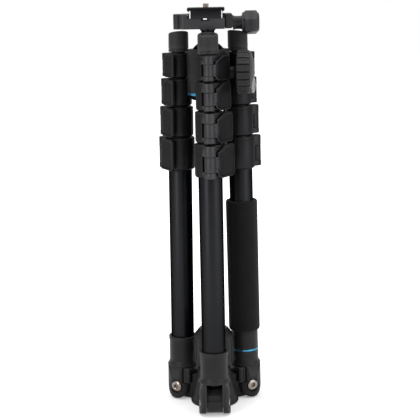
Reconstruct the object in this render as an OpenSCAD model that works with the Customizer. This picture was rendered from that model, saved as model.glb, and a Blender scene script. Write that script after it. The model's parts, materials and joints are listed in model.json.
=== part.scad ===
// Travel tripod, folded: three flip-lock legs turned up round the column and the ball head.
// The column's axis is Z, the base rests at z = 0, and the front leg stands on the -Y side.

/* [Stance] */
// Distance from the column's axis to each leg's pivot bolt
pivot_radius = 40; // [39:0.5:46]
// Height of the pivot bolts above the base
pivot_z = 14; // [14:0.5:20]
// Lean of the folded legs towards the column, in degrees
leg_lean = 0.64; // [0:0.02:0.7]

/* [Leg tubes] */
// Outside diameter of the thickest leg tube
tube_1_d = 25; // [24:0.25:26]
// Wall of every leg tube
tube_wall = 1.2; // [1:0.05:1.3]
// Gap all round between one leg tube and the next
tube_gap = 0.3; // [0.2:0.05:0.4]
// Distance from the pivot bolt to the first lock
lock_start = 240.5; // [220:1:260]
// Step by which the nested tubes' lower ends stand clear of each other
nest_step = 4; // [2:0.5:6]

/* [Leg locks] */
// Height of the first and largest lock
lock_1_h = 34.5; // [32:0.5:38]
// Loss of height from one lock to the next
lock_h_step = 2.9; // [2:0.1:3.2]
// Gap between two neighbouring locks
lock_gap = 0.95; // [0.6:0.05:1.5]
// Wall of the first lock's collar over its tube
collar_wall = 3.3; // [3:0.1:3.6]
// Growth of that wall from one lock to the next
collar_wall_step = 0.3; // [0.2:0.05:0.4]
// Radius of the first lock's hinge knuckles
knuckle_1_r = 5.7; // [5.2:0.1:6]
// Loss of knuckle radius from one lock to the next
knuckle_r_step = 0.25; // [0.1:0.05:0.3]
// Distance from the last collar's surface out to its hinge pin
hinge_stand_off = 2.4; // [2.2:0.1:3]
// Growth of that distance from one lock to the next thicker one
hinge_step = 0.35; // [0.2:0.05:0.5]
// Diameter of the hinge pins
hinge_pin_d = 3; // [2.5:0.1:3.2]

/* [Flip levers] */
// Reach of a lever past its collar's surface
lever_reach = 9.6; // [9:0.1:11]
// Depth of a lever's end behind the leg's axis
lever_end_back = 5.7; // [4:0.1:6.5]
// Thickness of a lever's paddle
lever_t = 2.8; // [2.2:0.1:3]
// Depth by which the lever's arm lies behind the knuckles' fronts
arm_inset = 1.1; // [0.6:0.1:1.6]

/* [Feet] */
// Diameter of the rubber feet
foot_d = 21; // [18:0.5:21]
// Length of the rubber feet
foot_h = 21.8; // [18:0.1:26]
// Slant of the sole, in degrees
sole_slant = 12; // [6:1:24]
// Turn of the right foot on its tube, in degrees, so that its low side faces the back
right_foot_turn = 20; // [0:5:90]
// Turn of the left foot on its tube, in degrees, also towards the back
left_foot_turn = 40; // [0:5:90]

/* [Leg castings] */
// Radius of the fork round the leg's axis
fork_r = 16.8; // [16.4:0.1:17.4]
// Radius of the ears' rounded ends about the pivot bolt
ear_r = 13.5; // [12.5:0.1:13.6]
// Gap between the two ears
slot_w = 17.7; // [16.5:0.1:18]
// Outside diameter of the socket that holds the tube
socket_d = 29.2; // [28.6:0.2:30]
// Height of the socket above the fork
socket_h = 31.4; // [26:0.2:40]
// Diameter of the pivot bolts
pivot_bolt_d = 6; // [5:0.25:8]
// Diameter of the pivot bolts' heads
bolt_head_d = 12.6; // [11:0.2:14]

/* [Hub] */
// Radius of the hub's round base
base_r = 26; // [25:0.25:26]
// Thickness of the base's rim
base_rim_h = 2.6; // [2:0.1:4]
// Height of the hub's cone
cone_h = 39; // [37:0.5:42]
// Radius at the cone's top
cone_top_r = 17.5; // [17:0.25:18.5]
// Gap between each ear and the hub's arm
arm_gap = 0.3; // [0.2:0.05:0.5]

/* [Column] */
// Outside diameter of the centre column
column_d = 22; // [20:0.5:23]
// Wall of the centre column
column_wall = 1.5; // [1:0.1:2]
// Way that the column can still be drawn up
column_rise = 30; // [20:1:30]
// Height of the twist collar that locks the column
twist_h = 38; // [36:0.5:40]
// Gap between the twist collar and the foam grip beside it
twist_gap = 1.1; // [0.8:0.1:3]

/* [Foam grip] */
// Outside diameter of the foam grip
foam_d = 34; // [31:0.5:34.5]
// Length of the foam grip
foam_h = 144; // [100:1:150]
// Height of the detachable leg's sleeve above its ring
sleeve_h = 21; // [16:0.5:24]
// Height of the sleeve's coloured ring
sleeve_ring_h = 2; // [1.4:0.1:3]

/* [Ball head] */
// Height of the tapered pan base
pan_base_h = 5.5; // [4:0.25:7]
// Height of the coloured ring over the pan base
pan_ring_h = 2.2; // [1.6:0.1:3]
// Height of the ball's housing
housing_h = 44.3; // [43:0.5:48]
// Gap between the housing and the folded legs' locks
head_gap = 0.6; // [0.4:0.05:1.5]
// Diameter of the ball
ball_d = 39; // [37:0.25:40]
// Depth of the ball's centre under the housing's rim
ball_sink = 11; // [9:0.1:12]
// Diameter of the neck between ball and clamp
neck_d = 13.7; // [12:0.1:15]
// Clear height of the neck between housing and clamp
neck_h = 20.7; // [19:0.5:24]
// Gap between the folded feet and the clamp
clamp_gap = 2.2; // [1.5:0.1:4]

/* [Knobs] */
// Diameter of the ball's locking knob
main_knob_d = 45; // [40:0.5:45]
// Thickness of the ribbed rim of the locking knob
main_knob_rim = 11.5; // [9:0.5:13]
// Height of the locking knob's domed end
main_knob_dome = 6; // [4:0.5:7]
// Angle of the locking knob's axis towards the front, in degrees
main_knob_turn = 6; // [2:1:8]
// Diameter of the drag dial on the locking knob
drag_dial_d = 17; // [12:0.5:17]
// Diameter of the pan lock knob
pan_knob_d = 13; // [11:0.5:13.5]
// Length of the pan lock knob
pan_knob_l = 11; // [8:0.5:14]

/* [Clamp] */
// Offset of the clamp's middle from the ball's axis, away from its knob
clamp_shift = 1.6; // [0:0.1:2]
// Width of the clamp across its straight front
clamp_front_w = 43; // [40:0.5:44]
// Depth of the clamp from front to back
clamp_depth = 41; // [38:0.5:41]
// Height of the clamp
clamp_h = 15.1; // [14.5:0.1:17]
// Travel of the loose jaw
jaw_travel = 3; // [2:0.25:4]
// Distance across the flats of the clamp knob
clamp_knob_w = 22.2; // [20:0.2:24]
// Length of the clamp knob
clamp_knob_l = 17.6; // [14:0.2:20]

/* [Camera plate] */
// Width of the plate across its dovetail
plate_w = 38; // [37:0.25:38.5]
// Length of the plate
plate_l = 48; // [40:1:48]
// Thickness of the plate
plate_t = 10.4; // [10:0.1:12]
// Diameter of the camera screw
screw_d = 6.35; // [6:0.05:9.5]
// Height of the camera screw above the plate
screw_out = 4.4; // [4:0.1:6]

/* [Hidden] */
$fn = 96;
cut = 1;
pin_fit = 0.05;
slide_fit = 0.1;
part_gap = 0.3;

front_turn = 0;
right_turn = 120;
left_turn = -120;
turns = [front_turn, right_turn, left_turn];

tube_colour = "#2b2d31";
plastic_colour = "#26262a";
casting_colour = "#333236";
foot_colour = "#3a3a3d";
foam_colour = "#1f1f21";
steel_colour = "#b9b4ac";
blue_colour = "#2f9fc4";
metal_colour = "#3b3b3e";
gloss_colour = "#111114";

// Sizes of tube and lock k, counted from 0 at the thickest
function tube_r(k) = tube_1_d / 2 - k * (tube_wall + tube_gap);
function lock_h(k) = lock_1_h - k * lock_h_step;
function lock_z(k) = k == 0 ? lock_start : lock_z(k - 1) + lock_h(k - 1) + lock_gap;
function collar_r(k) = tube_r(k) + collar_wall + k * collar_wall_step;
function knuckle_r(k) = knuckle_1_r - k * knuckle_r_step;
function hinge_out(k) = collar_r(k) + hinge_stand_off + (3 - k) * hinge_step;

// Shares of a lock's height where the lever's knuckle starts and ends, and where the tube ends
knuckle_low_share = 0.19;
knuckle_high_share = 0.66;
tube_end_share = 0.15;
// Share of a collar's radius from the point nearest the collar to the corner of the arm
corner_share = 0.62;
// Shares of a lever's reach where its cut corners start
low_chamfer_share = 0.5;
high_chamfer_share = 0.7;

foot_z = lock_z(3) + lock_h(3) + lock_gap;
foot_top = foot_z + foot_h;
foot_bore_share = 0.6;
foot_round = 1.2;

shoulder_z = 24;
shoulder_bevel = 2.2;
socket_floor = shoulder_z + shoulder_bevel;
slot_top = 22;
dome_low = 15.6;
lip_h = 2;
lip_out = 0.5;
bolt_pad = 12.9;
bolt_ring = 1;
bolt_head_h = 3.1;
hex_key_d = 4.4;
hex_key_depth = 2;

arm_w = slot_w - 2 * arm_gap;
arm_top = 14.5;
arm_top_out = 4;
ridge_1_out = 10.5;
ridge_1_z = 8.4;
ridge_2_out = 12;
ridge_2_z = 3.1;
arm_low = 8.8;
arm_low_out = 9;
arm_base = 13.2;
arm_base_out = 1;

tab_out_w = 13.5;
tab_in_gap = 0.35;
tab_near = 8.4;
tab_far = 15.9;
tab_low = 5;
tab_top = slot_top - part_gap;
tab_rib = 1.5;
tab_rib_h = 0.6;

column_r = column_d / 2;
cap_flange_h = 4;
cap_flange_out = 1.2;
cap_plug_h = 10;
rise_stop_z = cap_flange_h + column_rise;
hub_neck_h = 23;
hub_neck_step = 1.5;
neck_top_z = cone_h + hub_neck_h;
neck_r = cone_top_r - hub_neck_step;
twist_lift = 6;
twist_z = cone_h + twist_lift;
twist_r = pivot_radius - foam_d / 2 - twist_gap;
twist_top_r = 15;
twist_bevel = 7.3;
twist_round = 5.7;
twist_floor = 3;
twist_flutes = 12;
twist_flute_r = 1.3;
twist_draft = 0.9;
collet_wall = 3;
collet_slit = 1;
collet_slits = 3;

sleeve_ring_z = 38.6;
sleeve_z = sleeve_ring_z + sleeve_ring_h;
foam_z = sleeve_z + sleeve_h;
foam_round = 3;
sleeve_ring_out = 0.3;

// The head stands on the column so that the clamp clears the folded feet
clamp_z = pivot_z + foot_top + clamp_gap;
housing_top = clamp_z - neck_h;
housing_z = housing_top - housing_h;
pan_ring_z = housing_z - pan_ring_h;
head_z = pan_ring_z - pan_base_h;
ball_z = housing_top - ball_sink;
ball_r = ball_d / 2;
housing_r = pivot_radius - (housing_z - pivot_z) * tan(leg_lean) - collar_r(2) - head_gap;
housing_bevel = 1;
pan_foot_r = 17.5;
pan_boss_r = 17;
pan_spigot_h = 10;
notch_gap = 0.8;
notch_w = neck_d + 2 * notch_gap;

knob_in = 29.8;
knob_forward = 18;
knob_up = 21;
knob_boss_r = 6.5;
knob_boss_l = 20;
knob_shaft_r = 4;
knob_shaft_l = 13;
knob_grooves = 18;
knob_groove_r = 1.5;
knob_dome_share = 0.72;
dial_off = 13;
dial_seat = 12.8;
dial_tilt = 10;
dial_h = 3.6;
dial_teeth = 24;
dial_tooth_r = 0.5;
dial_stem_r = 2.5;
dial_stem_l = 5;

pan_knob_up = 8;
pan_knob_gap = 1.6;
pan_shaft_r = 2.5;
pan_shaft_l = 9;
pan_grooves = 12;
pan_groove_r = 0.8;

clamp_left = 24;
clamp_right = clamp_front_w - clamp_left;
clamp_end_cut = 4;
clamp_end_in = 5;
clamp_groove_x = 27.2;
clamp_groove_w = 1.6;
clamp_groove_d = 1.5;
clamp_end_x = 33.5;
clamp_end_back = 12;
clamp_floor = 10.8;
clamp_channel_left = 5;
clamp_channel_w = 8;
clamp_channel_d = 2.3;
clamp_jaw_t = 8;
jaw_gap = 0.4;
jaw_depth = 36;
jaw_foot = 0.3;
jaw_bevel = 1.5;
jaw_lip = 2;
jaw_lip_low = 2.5;
jaw_lip_high = 4.3;
guide_r = 1.5;
guide_off = 12;
guide_l = 11;
clamp_axis = 5.5;
clamp_screw_r = 3;
clamp_screw_tip = 6;
clamp_sleeve_r = 7.2;
clamp_sleeve_gap = 0.2;
clamp_sleeve_l = 9.4;
clamp_knob_bevel = 2.4;
clamp_knob_roll = 16;
stem_spigot_r = 5;
stem_spigot_h = 2.2;

plate_z = clamp_z + clamp_floor + slide_fit;
plate_foot_in = 1.4;
plate_flare_h = 1.4;
plate_land_h = 2.2;
plate_neck_in = 2.5;
plate_neck_low = 4.8;
plate_neck_high = 5.8;
plate_flange_low = 7.8;
plate_top = plate_z + plate_t;
screw_head_r = 8;
screw_head_h = 5;
screw_floor = 5.8;
screw_shank_in = 0.4;
screw_slot_w = 1.6;
screw_slot_d = 1.4;

// Put a leg's piece in its place: its own Z runs up the leg from the pivot bolt, -Y points outward
module place_leg(turn) {
    rotate([0, 0, turn]) translate([0, -pivot_radius, pivot_z]) rotate([-leg_lean, 0, 0]) children();
}

// Put a piece at a leg's pivot bolt without the leg's lean
module place_pivot(turn) {
    rotate([0, 0, turn]) translate([0, -pivot_radius, pivot_z]) children();
}

// Extrude an outline drawn in Y and Z along X, centred
module along_x(length) {
    rotate([90, 0, 90]) linear_extrude(height = length, center = true) children();
}

module disc(r, low, high) {
    translate([0, 0, low]) cylinder(r = r, h = high - low);
}

module ring(outer, inner, low, high) {
    difference() {
        disc(outer, low, high);
        disc(inner, low - cut, high + cut);
    }
}

// Grooves cut along a round piece's rim
module rim_grooves(count, at_r, groove_r, low, high) {
    for (i = [0 : count - 1]) rotate([0, 0, i * 360 / count]) translate([at_r, 0, 0]) disc(groove_r, low, high);
}

// Half section of a ring with rounded outer edges
module rounded_section(inner, outer, high, round_r) {
    translate([inner, 0]) square([outer - inner - round_r, high]);
    translate([inner, round_r]) square([outer - inner, high - 2 * round_r]);
    translate([outer - round_r, round_r]) circle(r = round_r);
    translate([outer - round_r, high - round_r]) circle(r = round_r);
}

// Leg casting: a fork of two ears round the hub's arm, and a socket that holds the first tube
module casting(tall) {
    color(casting_colour) difference() {
        union() {
            intersection() {
                rotate_extrude() polygon([
                    [0, -ear_r], [fork_r, -ear_r], [fork_r, shoulder_z],
                    [socket_d / 2, socket_floor], [0, socket_floor]
                ]);
                along_x(2 * fork_r + cut) {
                    circle(r = ear_r);
                    translate([-ear_r, 0]) square([2 * ear_r, shoulder_z - shoulder_bevel]);
                    translate([-fork_r, shoulder_z - shoulder_bevel]) square([2 * fork_r, 2 * shoulder_bevel]);
                }
            }
            disc(socket_d / 2, socket_floor, shoulder_z + tall - lip_h);
            disc(socket_d / 2 + lip_out, shoulder_z + tall - lip_h, shoulder_z + tall);
        }
        difference() {
            translate([-slot_w / 2, -fork_r - cut, -ear_r - cut])
                cube([slot_w, 2 * (fork_r + cut), ear_r + cut + slot_top]);
            casting_dome();
        }
        tab_space();
        disc(tube_r(0), socket_floor, shoulder_z + tall + cut);
        rotate([0, 90, 0]) cylinder(d = pivot_bolt_d + 2 * pin_fit, h = 2 * (fork_r + cut), center = true);
        for (side = [-1, 1]) rotate([0, side * 90, 0])
            disc(bolt_head_d / 2 + bolt_ring, bolt_pad, fork_r + cut);
    }
}

// The closed lower end of the socket bulges down between the ears
module casting_dome() {
    bulge = slot_top - dome_low;
    base = slot_w / 2;
    r = (base * base + bulge * bulge) / (2 * bulge);
    intersection() {
        translate([0, 0, dome_low + r]) sphere(r = r);
        disc(base, dome_low, slot_top + cut);
    }
}

// Room for the stop tab on the ears' inner side
module tab_space() {
    translate([-fork_r - cut, tab_near - part_gap, tab_low - part_gap])
        cube([2 * (fork_r + cut), fork_r, slot_top - tab_low + part_gap]);
}

// Stop tab: a bridge over the hub's arm, with a ribbed wing on each side of it
module stop_tab() {
    color(plastic_colour) {
        translate([-tab_out_w, tab_near, arm_top + 2 * arm_gap])
            cube([2 * tab_out_w, tab_far - tab_near, tab_top - arm_top - 2 * arm_gap]);
        for (side = [-1, 1]) tab_wing(side);
    }
}

module tab_wing(side) {
    wing_in = slot_w / 2 + tab_in_gap;
    x = side > 0 ? wing_in : -tab_out_w;
    translate([x, tab_near, tab_low]) cube([tab_out_w - wing_in, tab_far - tab_near, tab_top - tab_low]);
    rib_x = side > 0 ? tab_out_w : -tab_out_w - tab_rib_h;
    for (i = [0, 1]) translate([rib_x, tab_near + tab_rib + i * 2 * tab_rib, tab_low + tab_rib])
        cube([tab_rib_h, tab_rib, tab_top - tab_low - 2 * tab_rib]);
}

// Leg tube k, from its nested lower end into the lower part of its own collar
module leg_tube(k) {
    low = socket_floor + k * nest_step;
    color(tube_colour) ring(tube_r(k), tube_r(k) - tube_wall, low, lock_z(k) + lock_h(k) * tube_end_share);
}

// Lock collar k: glued over its tube's end, with two hinge knuckles and a pocket for the lever
module collar(k) {
    low = lock_z(k);
    high = low + lock_h(k);
    arm_low_z = low + lock_h(k) * knuckle_low_share;
    arm_high_z = low + lock_h(k) * knuckle_high_share;
    bevel = collar_wall / 2;
    color(plastic_colour) difference() {
        union() {
            rotate_extrude() polygon([
                [0, low], [collar_r(k) - bevel, low], [collar_r(k), low + bevel],
                [collar_r(k), high - bevel / 2], [collar_r(k) - bevel / 2, high], [0, high]
            ]);
            knuckle(k, low + bevel / 2, arm_low_z);
            knuckle(k, arm_high_z, high - bevel / 2);
        }
        disc(tube_r(k), low - cut, low + lock_h(k) * tube_end_share);
        disc(tube_r(k + 1) + tube_gap, low - cut, high + cut);
        translate([0, -hinge_out(k), 0]) {
            disc(knuckle_r(k) + part_gap, arm_low_z, arm_high_z);
            disc(hinge_pin_d / 2 + pin_fit, low - cut, high + cut);
        }
        translate([-knuckle_r(k) - collar_wall / 2, -hinge_out(k), arm_low_z])
            cube([collar_wall / 3, hinge_out(k), arm_high_z - arm_low_z]);
    }
}

module knuckle(k, low, high) {
    translate([0, -hinge_out(k), 0]) disc(knuckle_r(k), low, high);
    translate([-knuckle_r(k), -hinge_out(k), low]) cube([2 * knuckle_r(k), hinge_out(k), high - low]);
}

// Flip lever k with its hinge pin: an arm from the middle knuckle, then a tall paddle angled back
module lever(k) {
    low = lock_z(k) + lock_h(k) * knuckle_low_share + part_gap;
    high = lock_z(k) + lock_h(k) * knuckle_high_share - part_gap;
    color(plastic_colour) difference() {
        union() {
            translate([0, -hinge_out(k), 0]) disc(knuckle_r(k), low, high);
            intersection() {
                translate([0, 0, lock_z(k)]) linear_extrude(height = lock_h(k)) lever_plan(k);
                rotate([90, 0, 0]) linear_extrude(height = 4 * collar_r(k), center = true) lever_side(k);
            }
        }
        translate([0, -hinge_out(k), 0]) disc(hinge_pin_d / 2 + pin_fit, low - cut, high + cut);
    }
    color(steel_colour) translate([0, -hinge_out(k), 0])
        disc(hinge_pin_d / 2, lock_z(k) + collar_wall / 2, lock_z(k) + lock_h(k) - collar_wall / 2);
}

// The lever seen from above: the paddle's inner face lies along the collar, clear of it
module lever_plan(k) {
    tip = [collar_r(k) + lever_reach, lever_end_back];
    off = collar_r(k) + part_gap + lever_t;
    facing = atan2(tip[1], tip[0]) - acos(off / norm(tip));
    out = [cos(facing), sin(facing)];
    along = [sin(facing), -cos(facing)];
    corner = off * out + collar_r(k) * corner_share * along;
    polygon([
        [0, arm_inset - hinge_out(k) - knuckle_r(k)], corner, tip, tip - lever_t * out,
        corner - lever_t * (out + along / 2), [knuckle_r(k) - arm_inset, -hinge_out(k)], [0, -hinge_out(k)]
    ]);
}

// The lever seen from outside: low at the knuckle, then nearly as tall as its lock
module lever_side(k) {
    low = lock_z(k) + lock_gap / 2;
    high = lock_z(k) + lock_h(k) - lock_gap / 2;
    arm_low_z = lock_z(k) + lock_h(k) * knuckle_low_share + part_gap;
    arm_high_z = lock_z(k) + lock_h(k) * knuckle_high_share - part_gap;
    tip = collar_r(k) + lever_reach + cut;
    cut_low = knuckle_r(k) + lever_reach * low_chamfer_share;
    cut_high = knuckle_r(k) + lever_reach * high_chamfer_share;
    bevel = (high - arm_high_z) / 4;
    polygon([
        [-cut, arm_low_z], [knuckle_r(k) + part_gap, arm_low_z], [cut_low, low],
        [tip - cut - bevel, low], [tip, low + bevel + cut], [tip, high - bevel - cut],
        [tip - cut - bevel, high], [cut_high + bevel, high], [knuckle_r(k) + bevel, arm_high_z + bevel],
        [knuckle_r(k) + part_gap, arm_high_z], [-cut, arm_high_z]
    ]);
}

// Telescoping section: a tube and the lock collar bonded to its end
module section(k) {
    leg_tube(k);
    collar(k);
}

// The last and thinnest tube, whose end holds the foot
module last_tube() {
    low = socket_floor + 4 * nest_step;
    color(tube_colour) ring(tube_r(4), tube_r(4) - tube_wall, low, foot_z + foot_h * foot_bore_share);
}

// Rubber foot with a slanted sole
module foot() {
    color(foot_colour) difference() {
        translate([0, 0, foot_z]) rotate_extrude() rounded_section(0, foot_d / 2, foot_h, foot_round);
        disc(tube_r(4), foot_z - cut, foot_z + foot_h * foot_bore_share);
        translate([0, foot_d / 2 - foot_round, foot_top]) rotate([sole_slant, 0, 0])
            translate([-foot_d, -2 * foot_d, 0]) cube([2 * foot_d, 3 * foot_d, foot_h]);
    }
}

// Hub: base, cone, threaded neck for the twist collar and one arm to each leg
module spider() {
    color(casting_colour) difference() {
        union() {
            rotate_extrude() polygon([
                [0, 0], [base_r, 0], [base_r, base_rim_h / 2], [base_r - base_rim_h / 4, base_rim_h],
                [cone_top_r, cone_h], [neck_r, cone_h], [neck_r, neck_top_z], [0, neck_top_z]
            ]);
            for (turn = turns) place_pivot(turn) along_x(arm_w) polygon([
                [pivot_radius - cone_top_r, arm_top], [-arm_top_out, arm_top],
                [-ridge_1_out + arm_gap, ridge_1_z + arm_gap], [-ridge_1_out, ridge_1_z],
                [-ridge_1_out, ridge_2_z], [-ridge_2_out, ridge_2_z], [-ridge_2_out, -arm_low / 2],
                [-arm_low_out, -arm_low], [-arm_base_out, -arm_base], [pivot_radius - cone_top_r, -arm_base]
            ]);
        }
        disc(column_r + cap_flange_out + part_gap, -cut, rise_stop_z);
        disc(column_r + part_gap, -cut, neck_top_z + cut);
        for (turn = turns) place_pivot(turn) rotate([0, 90, 0])
            cylinder(d = pivot_bolt_d + 2 * pin_fit, h = slot_w + cut, center = true);
    }
}

// Pivot bolts: one through each fork, with a domed hexagon-socket head on both sides
module pivot_bolts() {
    color(steel_colour) for (turn = turns) place_pivot(turn) rotate([0, 90, 0]) pivot_bolt();
}

module pivot_bolt() {
    cylinder(d = pivot_bolt_d, h = 2 * bolt_pad + part_gap, center = true);
    for (side = [0, 180]) rotate([side, 0, 0]) difference() {
        bolt_head();
        translate([0, 0, bolt_pad + bolt_head_h - hex_key_depth]) cylinder(d = hex_key_d, h = bolt_head_h, $fn = 6);
    }
}

module bolt_head() {
    r = (bolt_head_d * bolt_head_d / 4 + bolt_head_h * bolt_head_h) / (2 * bolt_head_h);
    intersection() {
        disc(bolt_head_d / 2, bolt_pad + slide_fit, bolt_pad + bolt_head_h + cut);
        translate([0, 0, bolt_pad + bolt_head_h - r]) sphere(r = r);
    }
}

// Collet: a slit sleeve that the twist collar squeezes onto the column
module column_collet() {
    low = neck_top_z + slide_fit;
    high = twist_z + twist_h - twist_floor - slide_fit;
    color(plastic_colour) difference() {
        ring(column_r + collet_wall, column_r + pin_fit, low, high);
        for (i = [0 : collet_slits - 1]) rotate([0, 0, i * 360 / collet_slits])
            translate([0, -collet_slit / 2, low + twist_floor]) cube([2 * column_r, collet_slit, high - low]);
    }
}

// Twist collar that locks the column
module column_lock_collar() {
    top = twist_z + twist_h;
    edge = top - twist_bevel;
    color(casting_colour) difference() {
        rotate_extrude() polygon([
            [0, twist_z], [twist_r, twist_z], [twist_r, edge - twist_round],
            [twist_r - twist_draft, edge], [twist_top_r, top], [0, top]
        ]);
        disc(neck_r + part_gap, twist_z - cut, neck_top_z + part_gap);
        disc(column_r + collet_wall + part_gap, twist_z - cut, top - twist_floor);
        disc(column_r + part_gap, twist_z - cut, top + cut);
        rim_grooves(twist_flutes, twist_r + twist_flute_r / 2, twist_flute_r, twist_z - cut, top);
    }
}

module column_tube() {
    color(tube_colour) ring(column_r, column_r - column_wall, cap_flange_h, head_z);
}

// Cap that closes the column's lower end and stops it in the hub
module column_cap() {
    color(plastic_colour) {
        disc(column_r + cap_flange_out, 0, cap_flange_h);
        disc(column_r - column_wall, 0, cap_flange_h + cap_plug_h);
    }
}

// Sleeve, coloured ring and foam of the detachable leg, seated end to end round its first tube
module sleeve_ring() {
    color(blue_colour) place_leg(right_turn)
        ring(socket_d / 2 + sleeve_ring_out, tube_r(0), sleeve_ring_z, sleeve_z);
}

module monopod_sleeve() {
    color(casting_colour) place_leg(right_turn) difference() {
        translate([0, 0, sleeve_z]) rotate_extrude() rounded_section(0, socket_d / 2, sleeve_h, lip_out);
        disc(tube_r(0), sleeve_z - cut, foam_z + cut);
    }
}

module foam_grip() {
    color(foam_colour) place_leg(right_turn) difference() {
        translate([0, 0, foam_z]) rotate_extrude() rounded_section(0, foam_d / 2, foam_h, foam_round);
        disc(tube_r(0), foam_z - cut, foam_z + foam_h + cut);
    }
}

// Pan base: a tapered foot screwed into the column, with a boss that the housing turns on
module pan_base() {
    color(gloss_colour) {
        rotate_extrude() polygon([
            [0, head_z], [pan_foot_r, head_z], [housing_r - 1.5 * housing_bevel, head_z + pan_base_h / 2],
            [housing_r - housing_bevel / 2, pan_ring_z], [0, pan_ring_z]
        ]);
        disc(pan_boss_r, head_z, housing_z - slide_fit);
        disc(column_r - column_wall, head_z - pan_spigot_h, head_z + pan_base_h);
    }
}

module pan_ring() {
    color(blue_colour) ring(housing_r - slide_fit, pan_boss_r, pan_ring_z, housing_z - slide_fit);
}

// Housing of the ball, with the drop notch at the back and a boss for the locking knob
module head_housing() {
    color(plastic_colour) difference() {
        union() {
            rotate_extrude() polygon([
                [0, housing_z], [housing_r - housing_bevel / 2, housing_z],
                [housing_r, housing_z + housing_bevel / 2], [housing_r, housing_top - housing_bevel],
                [housing_r - housing_bevel, housing_top], [0, housing_top]
            ]);
            place_main_knob() disc(knob_boss_r, -knob_boss_l, -part_gap);
        }
        translate([0, 0, ball_z]) sphere(r = ball_r + slide_fit);
        translate([0, 0, ball_z]) rotate([-90, 0, 0]) cylinder(d = notch_w, h = 2 * housing_r);
        translate([-notch_w / 2, 0, ball_z]) cube([notch_w, 2 * housing_r, housing_h]);
        place_main_knob() disc(knob_shaft_r + pin_fit, -knob_shaft_l - part_gap, cut);
        place_pan_knob() disc(pan_shaft_r + pin_fit, -pan_shaft_l - part_gap, housing_r);
    }
}

// The locking knob's own Z runs out along its axis from its inner face
module place_main_knob() {
    translate([knob_in, -knob_forward, housing_z + knob_up]) rotate([0, 90, -main_knob_turn]) children();
}

// The drag dial sits below the knob's middle and faces a little further forward than the knob does
module place_dial() {
    translate([dial_off, 0, dial_seat]) rotate([dial_tilt, 0, 0]) translate([0, 0, -dial_seat]) children();
}

// The pan knob's own Z runs out to the back from the housing's surface
module place_pan_knob() {
    translate([0, housing_r, housing_z + pan_knob_up]) rotate([-90, 0, 0]) children();
}

module pan_knob() {
    color(plastic_colour) place_pan_knob() {
        difference() {
            disc(pan_knob_d / 2, pan_knob_gap, pan_knob_gap + pan_knob_l);
            rim_grooves(pan_grooves, pan_knob_d / 2 + pan_groove_r / 2, pan_groove_r,
                pan_knob_gap + pan_groove_r, pan_knob_gap + pan_knob_l + cut);
        }
        disc(pan_shaft_r, -pan_shaft_l, pan_knob_gap + cut);
    }
}

// Locking knob: a ribbed rim and a domed end, on a shaft into the housing
module main_knob() {
    r = main_knob_d / 2;
    rim = main_knob_rim;
    color(plastic_colour) place_main_knob() {
        difference() {
            rotate_extrude() polygon([
                [0, 0], [r - housing_bevel, 0], [r, housing_bevel], [r, rim],
                [r * knob_dome_share + r * (1 - knob_dome_share) * knob_dome_share, rim + main_knob_dome / 2],
                [r * knob_dome_share, rim + main_knob_dome * knob_dome_share],
                [r * (1 - knob_dome_share), rim + main_knob_dome], [0, rim + main_knob_dome]
            ]);
            rim_grooves(knob_grooves, r + knob_groove_r / 2, knob_groove_r, -cut, rim + main_knob_dome / 4);
            place_dial() {
                disc(drag_dial_d / 2 + part_gap, dial_seat, rim + 2 * main_knob_dome);
                disc(dial_stem_r + pin_fit, dial_seat - dial_stem_l - part_gap, rim + main_knob_dome);
            }
        }
        disc(knob_shaft_r, -knob_shaft_l, cut);
    }
}

// Drag dial: a small toothed dial set in the knob's end
module drag_dial() {
    color(steel_colour) place_main_knob() place_dial() {
        difference() {
            disc(drag_dial_d / 2, dial_seat + slide_fit, dial_seat + dial_h);
            rim_grooves(dial_teeth, drag_dial_d / 2, dial_tooth_r, dial_seat, dial_seat + dial_h + cut);
        }
        disc(dial_stem_r, dial_seat - dial_stem_l, dial_seat + dial_h / 2);
    }
}

// Ball and neck in one piece, with a spigot into the clamp
module ball_stem() {
    color(gloss_colour) {
        translate([0, 0, ball_z]) sphere(r = ball_r);
        disc(neck_d / 2, ball_z, clamp_z);
        disc(stem_spigot_r, ball_z, clamp_z + stem_spigot_h);
    }
}

// The clamp's outline seen from above, with a grooved and narrowed left end
module clamp_plan() {
    half = clamp_depth / 2;
    polygon([
        [clamp_right, -half], [-clamp_left, -half], [-clamp_groove_x, -half + clamp_end_cut],
        [-clamp_groove_x, -half + clamp_end_cut + clamp_groove_d],
        [-clamp_groove_x - clamp_groove_w, -half + clamp_end_cut + clamp_groove_d],
        [-clamp_groove_x - clamp_groove_w, -half + clamp_end_in], [-clamp_end_x, -clamp_end_back],
        [-clamp_end_x, clamp_end_back], [-clamp_groove_x - clamp_groove_w, half - clamp_end_in],
        [-clamp_groove_x - clamp_groove_w, half - clamp_end_cut - clamp_groove_d],
        [-clamp_groove_x, half - clamp_end_cut - clamp_groove_d], [-clamp_groove_x, half - clamp_end_cut],
        [-clamp_left, half], [clamp_right, half]
    ]);
}

// The plate's room in the clamp, seen from the front; the fixed jaw hooks over the dovetail
module plate_room() {
    in = plate_w / 2 + part_gap;
    polygon([
        [-in, clamp_floor], [-in, clamp_floor + jaw_lip_low], [-in + jaw_lip, clamp_floor + jaw_lip_high],
        [-in + jaw_lip, clamp_h + cut], [clamp_right + cut, clamp_h + cut], [clamp_right + cut, clamp_floor]
    ]);
}

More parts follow.
